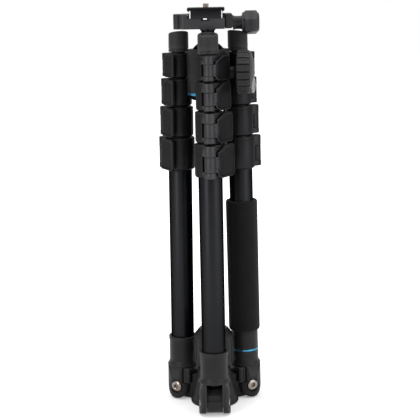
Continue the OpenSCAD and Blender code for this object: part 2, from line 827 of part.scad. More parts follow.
module clamp_body() {
    color(metal_colour) translate([-clamp_shift, 0, clamp_z]) difference() {
        linear_extrude(height = clamp_h) clamp_plan();
        rotate([90, 0, 0]) linear_extrude(height = 2 * clamp_depth, center = true) plate_room();
        translate([-clamp_channel_left, -clamp_depth, clamp_floor - clamp_channel_d])
            cube([clamp_channel_w, 2 * clamp_depth, clamp_channel_d + cut]);
        translate([clamp_shift, 0, 0]) disc(stem_spigot_r, -cut, stem_spigot_h);
        translate([0, 0, clamp_axis]) rotate([0, 90, 0]) {
            disc(clamp_screw_r + pin_fit, clamp_screw_tip - jaw_gap, clamp_right + cut);
            for (side = [-1, 1]) translate([0, side * guide_off, 0])
                disc(guide_r + pin_fit, clamp_right - guide_l - jaw_gap, clamp_right + cut);
        }
    }
}

// Loose jaw, on two guide pins
module clamp_jaw() {
    low = clamp_right + jaw_gap;
    high = low + clamp_jaw_t;
    lip = plate_w / 2 + part_gap;
    color(plastic_colour) translate([-clamp_shift, 0, clamp_z]) {
        difference() {
            rotate([90, 0, 0]) linear_extrude(height = jaw_depth, center = true) polygon([
                [low, jaw_foot], [high - jaw_bevel, jaw_foot], [high, jaw_foot + jaw_bevel],
                [high, clamp_h - jaw_bevel], [high - jaw_bevel, clamp_h],
                [lip - jaw_lip, clamp_h], [lip - jaw_lip, clamp_floor + jaw_lip_high],
                [lip, clamp_floor + jaw_lip_low], [low, clamp_floor + jaw_lip_low - jaw_gap]
            ]);
            translate([0, 0, clamp_axis]) rotate([0, 90, 0]) disc(clamp_screw_r + pin_fit, low - cut, high + cut);
        }
        translate([0, 0, clamp_axis]) rotate([0, 90, 0]) for (side = [-1, 1])
            translate([0, side * guide_off, 0]) disc(guide_r, clamp_right - guide_l, low + jaw_gap);
    }
}

// Clamp knob: six flats with bevelled ends, a plain sleeve and the clamping screw
module clamp_knob() {
    start = clamp_right + jaw_gap + clamp_jaw_t + clamp_sleeve_gap;
    low = start + clamp_sleeve_l;
    high = low + clamp_knob_l;
    r = clamp_knob_w / 2;
    corner = clamp_knob_w / sqrt(3);
    wide = corner - clamp_knob_bevel / 4;
    color(metal_colour) translate([-clamp_shift, 0, clamp_z + clamp_axis]) rotate([0, 90, 0]) {
        intersection() {
            rotate_extrude() polygon([
                [0, low], [r - clamp_knob_bevel / 2, low], [wide, low + clamp_knob_bevel],
                [wide, high - clamp_knob_bevel], [r - clamp_knob_bevel / 2, high], [0, high]
            ]);
            rotate([0, 0, clamp_knob_roll]) translate([0, 0, low - cut])
                cylinder(r = corner, h = clamp_knob_l + 2 * cut, $fn = 6);
        }
        disc(clamp_sleeve_r, start, low);
        disc(clamp_screw_r, clamp_screw_tip, start + cut);
    }
}

// Plate seen from the front: dovetail, neck and flange
module plate_section() {
    w = plate_w / 2;
    half = [
        [w - plate_foot_in, 0], [w, plate_flare_h], [w, plate_land_h],
        [w - plate_neck_in, plate_neck_low], [w - plate_neck_in, plate_neck_high],
        [w, plate_flange_low], [w, plate_t]
    ];
    polygon(concat(half, [for (i = [len(half) - 1 : -1 : 0]) [-half[i][0], half[i][1]]]));
}

module quick_release_plate() {
    color(gloss_colour) translate([-clamp_shift, 0, plate_z]) difference() {
        rotate([90, 0, 0]) linear_extrude(height = plate_l, center = true) plate_section();
        disc(screw_d / 2, -cut, plate_t + cut);
        disc(screw_head_r + part_gap, -cut, screw_floor);
    }
}

module camera_screw() {
    color(steel_colour) translate([-clamp_shift, 0, plate_z]) difference() {
        union() {
            disc(screw_d / 2, plate_t, plate_t + screw_out);
            disc(screw_d / 2 - screw_shank_in, screw_floor - screw_head_h, plate_t);
            disc(screw_head_r, screw_floor - slide_fit - screw_head_h, screw_floor - slide_fit);
        }
        translate([-screw_head_r - cut, -screw_slot_w / 2, screw_floor - slide_fit - screw_head_h - cut])
            cube([2 * (screw_head_r + cut), screw_slot_w, screw_slot_d + cut]);
    }
}

// The three legs hold the same pieces, each in its own place
module front_casting() place_leg(front_turn) casting(socket_h);
module front_stop_tab() place_leg(front_turn) stop_tab();
module front_tube_1() place_leg(front_turn) leg_tube(0);
module front_collar_1() place_leg(front_turn) collar(0);
module front_lever_1() place_leg(front_turn) lever(0);
module front_section_2() place_leg(front_turn) section(1);
module front_lever_2() place_leg(front_turn) lever(1);
module front_section_3() place_leg(front_turn) section(2);
module front_lever_3() place_leg(front_turn) lever(2);
module front_section_4() place_leg(front_turn) section(3);
module front_lever_4() place_leg(front_turn) lever(3);
module front_section_5() place_leg(front_turn) last_tube();
module front_foot() place_leg(front_turn) foot();
module right_casting() place_leg(right_turn) casting(sleeve_ring_z - shoulder_z);
module right_stop_tab() place_leg(right_turn) stop_tab();
module right_tube_1() place_leg(right_turn) leg_tube(0);
module right_collar_1() place_leg(right_turn) collar(0);
module right_lever_1() place_leg(right_turn) lever(0);
module right_section_2() place_leg(right_turn) section(1);
module right_lever_2() place_leg(right_turn) lever(1);
module right_section_3() place_leg(right_turn) section(2);
module right_lever_3() place_leg(right_turn) lever(2);
module right_section_4() place_leg(right_turn) section(3);
module right_lever_4() place_leg(right_turn) lever(3);
module right_section_5() place_leg(right_turn) last_tube();
module right_foot() place_leg(right_turn) rotate([0, 0, right_foot_turn]) foot();
module left_casting() place_leg(left_turn) casting(socket_h);
module left_stop_tab() place_leg(left_turn) stop_tab();
module left_tube_1() place_leg(left_turn) leg_tube(0);
module left_collar_1() place_leg(left_turn) collar(0);
module left_lever_1() place_leg(left_turn) lever(0);
module left_section_2() place_leg(left_turn) section(1);
module left_lever_2() place_leg(left_turn) lever(1);
module left_section_3() place_leg(left_turn) section(2);
module left_lever_3() place_leg(left_turn) lever(2);
module left_section_4() place_leg(left_turn) section(3);
module left_lever_4() place_leg(left_turn) lever(3);
module left_section_5() place_leg(left_turn) last_tube();
module left_foot() place_leg(left_turn) rotate([0, 0, -left_foot_turn]) foot();

spider();
pivot_bolts();
column_collet();
column_lock_collar();
column_tube();
column_cap();
front_casting();
front_stop_tab();
front_tube_1();
front_collar_1();
front_lever_1();
front_section_2();
front_lever_2();
front_section_3();
front_lever_3();
front_section_4();
front_lever_4();
front_section_5();
front_foot();
right_casting();
right_stop_tab();
right_tube_1();
right_collar_1();
right_lever_1();
right_section_2();
right_lever_2();
right_section_3();
right_lever_3();
right_section_4();
right_lever_4();
right_section_5();
right_foot();
sleeve_ring();
monopod_sleeve();
foam_grip();
left_casting();
left_stop_tab();
left_tube_1();
left_collar_1();
left_lever_1();
left_section_2();
left_lever_2();
left_section_3();
left_lever_3();
left_section_4();
left_lever_4();
left_section_5();
left_foot();
pan_base();
pan_ring();
head_housing();
pan_knob();
main_knob();
drag_dial();
ball_stem();
clamp_body();
clamp_jaw();
clamp_knob();
quick_release_plate();
camera_screw();
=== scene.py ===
import json
import math

import bmesh
import bpy
import numpy as np
from mathutils import Matrix, Vector


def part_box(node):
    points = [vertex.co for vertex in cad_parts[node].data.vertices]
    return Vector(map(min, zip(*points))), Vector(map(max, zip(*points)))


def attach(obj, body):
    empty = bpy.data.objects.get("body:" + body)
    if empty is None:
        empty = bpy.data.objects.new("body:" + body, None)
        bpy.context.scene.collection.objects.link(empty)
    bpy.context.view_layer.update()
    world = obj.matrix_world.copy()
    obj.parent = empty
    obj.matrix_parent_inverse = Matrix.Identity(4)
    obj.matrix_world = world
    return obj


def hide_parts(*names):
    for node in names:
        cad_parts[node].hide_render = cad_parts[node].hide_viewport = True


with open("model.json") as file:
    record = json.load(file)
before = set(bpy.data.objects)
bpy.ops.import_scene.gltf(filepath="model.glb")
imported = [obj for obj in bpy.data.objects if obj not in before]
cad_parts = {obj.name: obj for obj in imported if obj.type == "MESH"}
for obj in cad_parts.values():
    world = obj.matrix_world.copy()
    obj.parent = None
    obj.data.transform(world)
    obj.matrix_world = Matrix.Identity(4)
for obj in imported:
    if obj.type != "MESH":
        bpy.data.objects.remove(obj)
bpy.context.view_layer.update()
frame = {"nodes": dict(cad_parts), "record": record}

# Hub: a die-cast base with a flared cone, a neck for the column's lock and three arms that the
# legs turn on. It is one casting in fine textured black paint, and the whole tripod stands on
# its rim when it is folded.
MM = 0.001
PIVOT_OUT, PIVOT_UP = 40.0, 14.0
ARM_HALF = 8.55
LEGS = {"front": 0.0, "right": 120.0, "left": -120.0}
carrier = {node: body for body, nodes in frame["record"]["behaviour"]["bodies"].items() for node in nodes}
link = bpy.context.scene.collection.objects.link


def eased(points, cut, steps=4, loop=True):
    """Outline with eased corners: each corner C becomes the parabola (1-t)^2 A + 2t(1-t) C + t^2 B,
    where A and B lie a cut before and after it, at most 45 hundredths of the way to its neighbours."""
    p = np.asarray(points, float)
    cut = np.broadcast_to(np.asarray(cut, float).reshape(-1, 1), (len(p), 1))
    ends = []
    for near in (np.roll(p, 1, 0), np.roll(p, -1, 0)):
        way = near - p
        reach = np.linalg.norm(way, axis=1, keepdims=True)
        ends.append(p + way * np.minimum(cut / np.maximum(reach, 1e-9), 0.45))
    t = np.linspace(0, 1, steps + 1)[None, :, None]
    arc = (1 - t) ** 2 * ends[0][:, None] + 2 * t * (1 - t) * p[:, None] + t ** 2 * ends[1][:, None]
    if not loop:
        arc[0], arc[-1] = p[0], p[-1]
    arc = arc.reshape(-1, p.shape[1])
    far = np.linalg.norm(arc - np.roll(arc, 1, 0), axis=1) > 1e-5
    return arc[far | (np.arange(len(arc)) == 0)]


def circle(steps):
    """Angles once round, without the last one that would meet the first."""
    return np.linspace(0, 2 * np.pi, steps, endpoint=False)


def polar(r, t, z):
    """Points (r cos t, r sin t, z)."""
    return np.stack([r * np.cos(t), r * np.sin(t), z + 0 * t], -1)


def turned(profile, steps=96):
    """Surface of revolution: the profile's point (r, z) goes to (r cos t, r sin t, z)."""
    r, z = np.asarray(profile, float).T[:, :, None]
    return polar(r, circle(steps), z)


def inset(outline, by):
    """Outline moved inwards by a distance, along the mean of its two edges' normals at each point."""
    ahead = np.roll(outline, -1, 0) - outline
    ahead /= np.maximum(np.linalg.norm(ahead, axis=1, keepdims=True), 1e-9)
    mean = ahead + np.roll(ahead, 1, 0)
    mean /= np.maximum(np.linalg.norm(mean, axis=1, keepdims=True), 1e-9)
    x, y = outline.T
    area = np.sum(x * np.roll(y, -1) - np.roll(x, -1) * y)
    return outline + np.sign(area) * by * np.stack([-mean[:, 1], mean[:, 0]], -1)


def cells(rows, columns, loop_rows=False):
    """Faces of a grid whose columns close round, and whose rows close too if asked, each on four points."""
    i = np.arange(rows if loop_rows else rows - 1)[:, None]
    j = np.arange(columns)[None, :]
    beyond, beside = (i + 1) % rows, (j + 1) % columns
    corners = (i * columns + j, i * columns + beside, beyond * columns + beside, beyond * columns + j)
    return np.stack(corners, -1).reshape(-1, 4).tolist()


def shell(grid, loop_rows=False):
    """Points and faces of a grid of points (rows, columns, 3)."""
    return grid.reshape(-1, 3), cells(*grid.shape[:2], loop_rows)


def quarter(steps):
    """Quarter round of size one: at each angle b how far inwards it lies, 1 - sin b, and how far
    along, 1 - cos b."""
    b = np.linspace(0, np.pi / 2, steps)
    return list(zip(1 - np.sin(b), 1 - np.cos(b)))


def slab(outline, low, high, ease=0.5, order="xyz"):
    """Prism on an outline, from low to high, whose edges are quarter rounds of that ease. Order names
    the outline's two axes and then the prism's."""
    levels = [(ease * inward, low + ease * along) for inward, along in quarter(4)]
    levels += [(ease * inward, high - ease * along) for inward, along in quarter(4)[::-1]]
    rows = [np.column_stack([inset(outline, by), np.full(len(outline), at)]) for by, at in levels]
    grid = np.stack(rows)[..., [order.index(axis) for axis in "xyz"]]
    n = len(outline)
    caps = [list(range(n)), list(range(n * (len(rows) - 1), n * len(rows)))[::-1]]
    return grid.reshape(-1, 3), cells(len(rows), n) + caps


def joined(name, meshes):
    """One mesh out of several, which it uses up, with their faces' material numbers."""
    work = bmesh.new()
    for mesh in meshes:
        work.from_mesh(mesh)
        bpy.data.meshes.remove(mesh)
    whole = bpy.data.meshes.new(name)
    work.to_mesh(whole)
    work.free()
    return whole


def skin(name, shells, matrix=Matrix()):
    """One mesh out of closed shells in millimetres, each merged and turned outwards, then put in place."""
    parts = []
    for points, faces in shells:
        part = bpy.data.meshes.new("part")
        part.from_pydata((points * MM).tolist(), [], faces)
        one = bmesh.new()
        one.from_mesh(part)
        bmesh.ops.remove_doubles(one, verts=one.verts, dist=2e-6)
        bmesh.ops.dissolve_degenerate(one, edges=one.edges, dist=1e-7)
        bmesh.ops.recalc_face_normals(one, faces=one.faces)
        one.to_mesh(part)
        one.free()
        parts.append(part)
    mesh = joined(name, parts)
    mesh.transform(matrix)
    return mesh


def rows_of(items, what):
    """A vector that each vertex or face has, a row each."""
    flat = np.zeros(len(items) * 3)
    items.foreach_get(what, flat)
    return flat.reshape(-1, 3)


def stand(name, mesh, coat, smooth=32.0):
    """Object for a mesh, with its finish, its hard edges kept sharp, and how bent each point p is as
    "bend": 4 times the mean of -(q - p) . n / |q - p| over its neighbours q, where n is the normal.
    It is above zero on edges and below zero in corners."""
    mesh.materials.append(coat)
    mesh.shade_smooth()
    mesh.set_sharp_from_angle(angle=math.radians(smooth))
    count = len(mesh.vertices)
    at, normal = rows_of(mesh.vertices, "co"), rows_of(mesh.vertex_normals, "vector")
    pair = np.zeros(len(mesh.edges) * 2, int)
    mesh.edges.foreach_get("vertices", pair)
    a, b = pair[::2], pair[1::2]
    way = at[b] - at[a]
    way /= np.maximum(np.linalg.norm(way, axis=1, keepdims=True), 1e-12)
    rise = np.bincount(a, -(way * normal[a]).sum(1), count) + np.bincount(b, (way * normal[b]).sum(1), count)
    bend = 4 * rise / np.maximum(np.bincount(pair, minlength=count), 1)
    bend = np.clip(bend, -1, 1).astype(np.float32)
    mesh.attributes.new("bend", "FLOAT", "POINT").data.foreach_set("value", bend)
    piece = bpy.data.objects.new(name, mesh)
    link(piece)
    return piece


def finish(name, colour, rough, metal=0.0, grain=2600.0, bump=0.15, drift=0.18, wear_and_rim_highlight=0.25,
           shine=0.12, stretch=(1, 1, 1), worn_and_lit_colour=None, edge=1.0):
    """Material: fine noise gives the bump, slow noise drifts the colour and the roughness, the edges are
    lighter, partly wear where they are handled and partly painted highlight, and the corners darker with
    painted shade. Sizes of the noise are in cycles a metre.
    Edge is how bright a metal's mirroring is where it is seen at a grazing angle."""
    made = bpy.data.materials.new(name)
    made.use_nodes = True
    nodes, join = made.node_tree.nodes, made.node_tree.links.new
    shader = nodes["Principled BSDF"]
    shader.inputs["Metallic"].default_value = metal
    shader.inputs["Specular IOR Level"].default_value = shine
    shader.inputs["Specular Tint"].default_value = (edge, edge, edge, 1)
    place = nodes.new("ShaderNodeTexCoord").outputs["Object"]
    scale = nodes.new("ShaderNodeMapping")
    scale.inputs["Scale"].default_value = stretch
    join(place, scale.inputs["Vector"])

    def noise(source, cycles, detail):
        """Noise at the places that the source gives."""
        node = nodes.new("ShaderNodeTexNoise")
        node.inputs["Scale"].default_value = cycles
        node.inputs["Detail"].default_value = detail
        join(source, node.inputs["Vector"])
        return node.outputs["Fac"]

    relief = nodes.new("ShaderNodeBump")
    relief.inputs["Strength"].default_value = bump
    relief.inputs["Distance"].default_value = 0.0002
    join(noise(scale.outputs["Vector"], grain, 3.0), relief.inputs["Height"])
    join(relief.outputs["Normal"], shader.inputs["Normal"])
    slow = noise(place, 55.0, 5.0)

    def spread(source, low, high, to_low, to_high):
        """Number from one range to another, held at its ends."""
        node = nodes.new("ShaderNodeMapRange")
        for socket, value in zip(("From Min", "From Max", "To Min", "To Max"), (low, high, to_low, to_high)):
            node.inputs[socket].default_value = value
        join(source, node.inputs["Value"])
        return node.outputs["Result"]

    def mixed(share, first, second):
        """Colour between two, each of them a constant or a socket."""
        node = nodes.new("ShaderNodeMix")
        node.data_type = "RGBA"
        join(share, node.inputs["Factor"])
        for socket, value in (("A", first), ("B", second)):
            if isinstance(value, (tuple, list)):
                node.inputs[socket].default_value = (*value, 1)
            else:
                join(value, node.inputs[socket])
        return node.outputs["Result"]

    attribute = nodes.new("ShaderNodeAttribute")
    attribute.attribute_name = "bend"
    bend = attribute.outputs["Fac"]
    tone = mixed(spread(slow, 0.3, 0.7, 0, 1), [c * (1 - drift) for c in colour],
                 [min(1, c * (1 + drift)) for c in colour])
    # Edges turn towards a lighter colour: partly wear where handled, partly a painted highlight on rims.
    worn_and_lit_colour = worn_and_lit_colour or [min(1, c * 3 + 0.02) for c in colour]
    tone = mixed(spread(bend, 0.05, 1, 0, wear_and_rim_highlight), tone, worn_and_lit_colour)
    # Corners turn darker: painted shade in creases and hollows.
    tone = mixed(spread(bend, -0.05, -1, 0, 0.8), tone, [c * 0.2 for c in colour])
    join(tone, shader.inputs["Base Color"])
    join(spread(slow, 0.3, 0.7, rough - 0.04, rough + 0.05), shader.inputs["Roughness"])
    return made


def spun(degrees, axis):
    """Turn about an axis."""
    return Matrix.Rotation(math.radians(degrees), 4, axis)


def moved(x, y, z):
    """Shift in millimetres."""
    return Matrix.Translation((x * MM, y * MM, z * MM))


def at_pivot(turn):
    """Place of a leg's pivot bolt, turned round the column."""
    return spun(turn, "Z") @ moved(0, -PIVOT_OUT, PIVOT_UP)


casting_paint = finish("casting_paint", (0.0145, 0.0140, 0.0145), 0.42, grain=3600, bump=0.3, shine=0.13)
hub_profile = eased([
    (12.5, 0), (25.3, 0), (26, 0.7), (26, 1.9), (25.3, 2.7), (24.6, 3.1), (24.3, 4.6), (17.6, 38.4),
    (16.9, 39), (16, 39), (16, 61.6), (15.6, 62), (11.35, 62), (11.35, 34), (12.5, 34)], 0.5)
arm_outline = eased([
    (22.5, 14.5), (-4, 14.5), (-10.2, 8.9), (-10.5, 7.9), (-10.5, 3.1), (-12, 2.7), (-12, -4.4), (-9, -8.8),
    (-1, -13.2), (22.5, -13.2)], [0.2, 1.5, 0.8, 0.6, 0.5, 0.6, 1.2, 1.2, 1.5, 0.2])
arm = slab(arm_outline, -ARM_HALF, ARM_HALF, 0.5, "yzx")
arms = [skin("arm", [arm], at_pivot(turn)) for turn in LEGS.values()]
hub_mesh = joined("hub", [skin("hub_round", [shell(turned(hub_profile), True)]), *arms])
# A darker copy of the casting paint: painted shade for the hub, which stands in shadow among the legs.
shaded_hub_paint = finish("shaded_hub_paint", (0.0110, 0.0104, 0.0108), 0.42, grain=3600, bump=0.3, shine=0.13)
hub = stand("hub_casting", hub_mesh, shaded_hub_paint)
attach(hub, carrier["spider"])
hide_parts("spider")

# Pivot bolts: bright steel cap bolts with a domed head at each end and a hexagon socket. Each holds
# one leg's fork to its arm of the hub.
BOLT_SEAT, BOLT_RISE, BOLT_R, SOCKET_R = 12.7, 3.5, 6.4, 2.2
bright_steel = finish("bright_steel", (0.21, 0.182, 0.162), 0.20, metal=1.0, grain=1800, bump=0.05, wear_and_rim_highlight=0.1)


def oblong(left, right, low, high):
    """Corners of a rectangle."""
    return [(left, low), (right, low), (right, high), (left, high)]


def hexagon(t, across):
    """Radius of a hexagon with that half width across its flats, in direction t."""
    return across / np.cos(np.mod(t, np.pi / 3) - np.pi / 6)


def bolt_grid(rise, rim, key, seat):
    """Domed head: rows run up the rim and over a nearly elliptic arc to the socket's round mouth, then
    down as a hexagon to its floor."""
    t = circle(72)
    a = np.linspace(0.25, 1, 9)
    r = [0, rim * 0.93, rim * 0.99, *(rim + (key + 0.5 - rim) * (1 - np.cos(a * np.pi / 2)) ** 0.9)]
    z = [seat, seat, seat + 1.7, *(seat + 1.9 + (rise - 1.9) * np.sin(a * np.pi / 2))]
    rows = [polar(q, t, h) for q, h in zip(r, z)]
    for share, below in ((1.0, 0.25), (0.98, 2.0), (0.0, 2.3)):
        rows.append(polar(share * hexagon(t, key), t, seat + rise - below))
    return np.stack(rows)


head = shell(bolt_grid(BOLT_RISE, BOLT_R, SOCKET_R, BOLT_SEAT))
shaft = shell(turned(oblong(0, 3, -13.2, 13.2), 32))
bolt_parts = [skin("bolt", shells, at_pivot(turn) @ spun(way, "Y"))
              for turn in LEGS.values() for way, shells in ((90, [head, shaft]), (-90, [head]))]
bolts = stand("leg_bolts", joined("bolts", bolt_parts), bright_steel, 28)
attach(bolts, carrier["pivot_bolts"])
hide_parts("pivot_bolts")

# Centre column: an anodised aluminium tube through the hub, with a moulded cap at its lower end. A
# slit nylon collet grips it when the twist collar over the hub's neck is turned down.
tube_black = finish("tube_black", (0.0098, 0.0100, 0.0112), 0.40, metal=1.0, grain=900, bump=0.03,
                    drift=0.12, wear_and_rim_highlight=0.4, stretch=(1, 1, 0.04), shine=0.0, edge=0.3)
inner_plastic = finish("inner_plastic", (0.012, 0.012, 0.012), 0.5)
COLUMN_R, COLUMN_BORE, COLUMN_FOOT = 11.0, 9.5, 4.0
column_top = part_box("column_tube")[1].z / MM


def tube_profile(outer, inner, low, high):
    """Closed half section of a tube with broken edges."""
    return eased(oblong(inner, outer, low, high), 0.25, 2)


column_profile = tube_profile(COLUMN_R, COLUMN_BORE, COLUMN_FOOT, column_top)
column = stand("column_skin", skin("column", [shell(turned(column_profile), True)]), tube_black)
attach(column, carrier["column_tube"])
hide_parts("column_tube")

cap_profile = eased([(0, 0.6), (4, 0.6), (4.6, 0), (11.2, 0), (12.2, 1), (12.2, 3.7), (11.9, 4), (9.4, 4),
                     (9.4, 13.6), (9, 14), (0, 14)], 0.4, loop=False)
cap = stand("column_end_cap", skin("cap", [shell(turned(cap_profile, 64))]), inner_plastic)
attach(cap, carrier["column_cap"])
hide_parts("column_cap")
collet_look = frame["nodes"]["column_collet"].data.materials
collet_look.clear()
collet_look.append(inner_plastic)

twist_rows = eased([
    (16.3, 45), (21.2, 45), (21.9, 45.8), (21.9, 68.5), (21.5, 71.5), (20.9, 75.9), (15.6, 82.6),
    (14.6, 83), (11.4, 83), (11.4, 80), (14.3, 80), (14.3, 62.6), (16.3, 62.6)],
    [.2, .6, .6, 3, 3, 1.6, .8, .5, .3, .2, .2, .2, .2])
FLUTE_DEEP, FLUTE_PITCH, FLUTE_SHARE = 1.05, np.pi / 6, 0.11
around = circle(288)
from_flute = np.mod(around / FLUTE_PITCH + 0.5, 1) - 0.5
flute = FLUTE_DEEP * np.clip(1 - from_flute ** 2 / FLUTE_SHARE ** 2, 0, 1) ** 0.6
twist_r, twist_z = twist_rows.T[:, :, None]
fluted = twist_r - flute * np.clip((twist_r - 20.4) / 0.6, 0, 1)
twist_grid = polar(fluted, around, twist_z)
# The twist collar takes the same darker copy, painted shade as for the hub.
twist = stand("column_twist_collar", skin("twist", [shell(twist_grid, True)]), shaded_hub_paint)
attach(twist, carrier["column_lock_collar"])
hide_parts("column_lock_collar")

# Leg castings: each is a fork of two ears round the hub's arm, with a round shoulder and a socket
# that the first tube is glued into. They are die cast and painted as the hub is. The right one is
# short, because the sleeve of the detachable leg screws down onto it.
LEG_LEAN = 0.64
SOCKET_FLOOR, FORK_R, EAR_R, SLOT_HALF = 26.2, 16.8, 13.5, 8.85
SEAT_R, SEAT_X, RIM_EASE, INNER_EASE = 7.2, 12.6, 1.3, 0.8
LIP_TOP = {"front": 55.4, "right": 38.6, "left": 55.4}


def on_leg(side):
    """Place of a leg: its own Z runs up the leg from the pivot bolt, and -Y points outwards."""
    return at_pivot(LEGS[side]) @ spun(-LEG_LEAN, "X")


def lower_half(r, steps=17):
    """Lower half of a circle, or of an ellipse with two half widths, from left to right."""
    t = np.linspace(np.pi, 2 * np.pi, steps)
    return r * np.stack([np.cos(t), np.sin(t)], -1)


def ear(side):
    """One ear: a polar grid about the bolt. Its outer face lies on the fork's cylinder,
    x = sqrt(R^2 - y^2), with a round seat sunk in it for the bolt's head, and its rim is eased on
    both faces."""
    above = [(EAR_R, 4.6), (8.3, 4.6), (8.1, 5), (8.1, 23), (-EAR_R, 23)]
    outline = np.concatenate([lower_half(EAR_R, 25), above])
    outline = eased(outline, [0.2] * 25 + [0.9, 0.5, 0.3, 0.2, 0.2], 3)

    def face(flat):
        """How far out the fork's cylinder lies."""
        return np.sqrt(FORK_R ** 2 - np.minimum(np.abs(flat[:, 0]), 13.6) ** 2)

    def row(flat, x):
        """The outline at a distance x along the bolt."""
        return np.column_stack([side * (x + 0 * flat[:, 0]), flat])

    seat = SEAT_R * outline / np.hypot(*outline.T)[:, None]
    brim = seat * 1.04
    rows = [row(0 * seat, SEAT_X), row(seat, SEAT_X), row(seat, face(seat) - 0.3), row(brim, face(brim))]
    near = inset(outline, RIM_EASE)
    for share in (0.25, 0.5, 0.75):
        flat = brim * (1 - share) + near * share
        rows.append(row(flat, face(flat)))
    for inward, along in quarter(5):
        flat = inset(outline, RIM_EASE * inward)
        rows.append(row(flat, face(flat) - 1.8 * along))
    for inward, along in quarter(4)[::-1]:
        rows.append(row(inset(outline, INNER_EASE * inward), SLOT_HALF + INNER_EASE * along))
    rows.append(row(0 * seat, SLOT_HALF))
    return shell(np.stack(rows))


shoulder_profile = eased([
    (0, 21.9), (15.4, 21.9), (16.8, 22.3), (16.8, 23.7), (15.1, 26.0), (14.7, 28), (0, 28)],
    [.1, .4, .9, 1.3, 1.2, .4, .1], loop=False)
DOME_R, DOME_Z = 9.3, 24.9
dome_arc = np.linspace(0, 1.12, 14)
dome_curve = np.stack([DOME_R * np.sin(dome_arc), DOME_Z - DOME_R * np.cos(dome_arc)], -1)
dome_profile = np.concatenate([dome_curve, [(8.4, 24), (0, 24)]])
for side in LEGS:
    top = LIP_TOP[side]
    lip = [(14.6, top - 4.5), (15.1, top - 4.0), (15.1, top - 0.5), (14.6, top)]
    if side == "right":
        lip = [(14.6, top - 0.1)]
    socket = eased([(12.55, 27), (14.6, 27), *lip, (12.9, top), (12.55, top - 0.35)], 0.3, 3)
    fork = skin("fork", [ear(1), ear(-1), shell(turned(shoulder_profile)), shell(turned(dome_profile, 48)),
                         shell(turned(socket), True)], on_leg(side))
    casting = stand(side + "_fork_casting", fork, casting_paint)
    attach(casting, carrier[side + "_casting"])
    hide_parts(side + "_casting")

# Stop tabs: moulded sliders that set how far a leg may open. Each straddles the hub's arm behind the
# fork, is held in by a spring, and has two grip ribs on each side.
TAB_NEAR, TAB_FAR, TAB_LOW, TAB_TOP, TAB_OUT, TAB_IN = 8.4, 15.9, 5.0, 21.7, 13.5, 9.2
tab_plastic = finish("tab_plastic", (0.014, 0.0135, 0.014), 0.4, bump=0.2, wear_and_rim_highlight=0.5)
wing = eased(oblong(TAB_NEAR, TAB_FAR, TAB_LOW, TAB_TOP), 1.2)
bridge = eased(oblong(TAB_NEAR, TAB_FAR, 15.2, TAB_TOP), 0.8)
rib_arc = np.linspace(-np.pi / 2, np.pi / 2, 9)
RIB_R, RIB_ROOT = 0.95, TAB_OUT - 1.2
tab_shells = [slab(bridge, -TAB_IN - 1, TAB_IN + 1, 0.3, "yzx")]
for way in (-1, 1):
    near, far = sorted((way * TAB_IN, way * TAB_OUT))
    tab_shells.append(slab(wing, near, far, 0.6, "yzx"))
    for middle in (10.5, 13.8):
        crest = way * (TAB_OUT - 0.4 + 1.1 * np.cos(rib_arc))
        rib = np.stack([crest, middle + RIB_R * np.sin(rib_arc)], -1)
        root = [(way * RIB_ROOT, middle + 0.9), (way * RIB_ROOT, middle - 0.9)]
        rib = eased(np.concatenate([rib, root]), 0.1, 2)
        tab_shells.append(slab(rib, TAB_LOW + 1.2, TAB_TOP - 1.2))
for side in LEGS:
    tab = stand(side + "_angle_tab", skin("tab", tab_shells, on_leg(side)), tab_plastic)
    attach(tab, carrier[side + "_stop_tab"])
    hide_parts(side + "_stop_tab")

# Leg tubes: five drawn aluminium tubes a leg, each a millimetre and a half thinner all round than
# the one it slides in, in satin black anodising.
TUBE_R, TUBE_STEP, TUBE_WALL, LOCK_GAP = 12.5, 1.5, 1.2, 0.95
LOCK_H = [34.5 - 2.9 * k for k in range(4)]
LOCK_Z = [240.5 + sum(LOCK_H[:k]) + LOCK_GAP * k for k in range(4)]
FOOT_Z = LOCK_Z[3] + LOCK_H[3] + LOCK_GAP
tube_ends = [LOCK_Z[k] + 0.15 * LOCK_H[k] for k in range(4)] + [FOOT_Z + 13.4]
for side in LEGS:
    for k, end in enumerate(tube_ends):
        outer = TUBE_R - TUBE_STEP * k
        profile = tube_profile(outer, outer - TUBE_WALL, SOCKET_FLOOR + 4 * k, end)
        node = f"{side}_tube_1" if k == 0 else f"{side}_section_{k + 1}"
        tube_mesh = skin("tube", [shell(turned(profile), True)], on_leg(side))
        tube = stand(f"{side}_leg_tube_{k + 1}", tube_mesh, tube_black)
        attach(tube, carrier[node])
        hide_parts(node)

# Lock collars: moulded collars glued over the end of each tube, with two hinge knuckles and a slot
# between them for the flip lever. Four stand close together on each leg when it is folded. The
# front leg's hinges take a lighter copy of the same plastic, a painted highlight for the light that
# falls on them from the front left, and the slot is painted black as shade.
COLLAR_WALL = [3.3, 3.6, 3.9, 4.2]
COLLAR_R = [TUBE_R - TUBE_STEP * k + COLLAR_WALL[k] for k in range(4)]
KNUCKLE_R = [5.7 - 0.25 * k for k in range(4)]
HINGE_OUT = [COLLAR_R[k] + 2.4 + 0.35 * (3 - k) for k in range(4)]
ARM_LOW = [LOCK_Z[k] + 0.19 * LOCK_H[k] for k in range(4)]
ARM_HIGH = [LOCK_Z[k] + 0.66 * LOCK_H[k] for k in range(4)]
moulded = {"grain": 3000, "bump": 0.2, "wear_and_rim_highlight": 0.5, "shine": 0.1, "edge": 0.0}
lock_plastic = finish("lock_plastic", (0.0150, 0.0143, 0.0154), 0.36, metal=0.6, **moulded)
# A lighter copy of the lock plastic: painted highlight for the light that falls on the front leg's hinges
# from the front left.
hinge_painted_highlight = finish("hinge_painted_highlight", (0.0300, 0.0290, 0.0305), 0.36, metal=0.5, **moulded)
# Near-black for the faces inside the lever's slot: painted shade.
slot_painted_shade = finish("slot_painted_shade", (0.0012, 0.0011, 0.0012), 0.7, bump=0.1, wear_and_rim_highlight=0.0, shine=0.05)


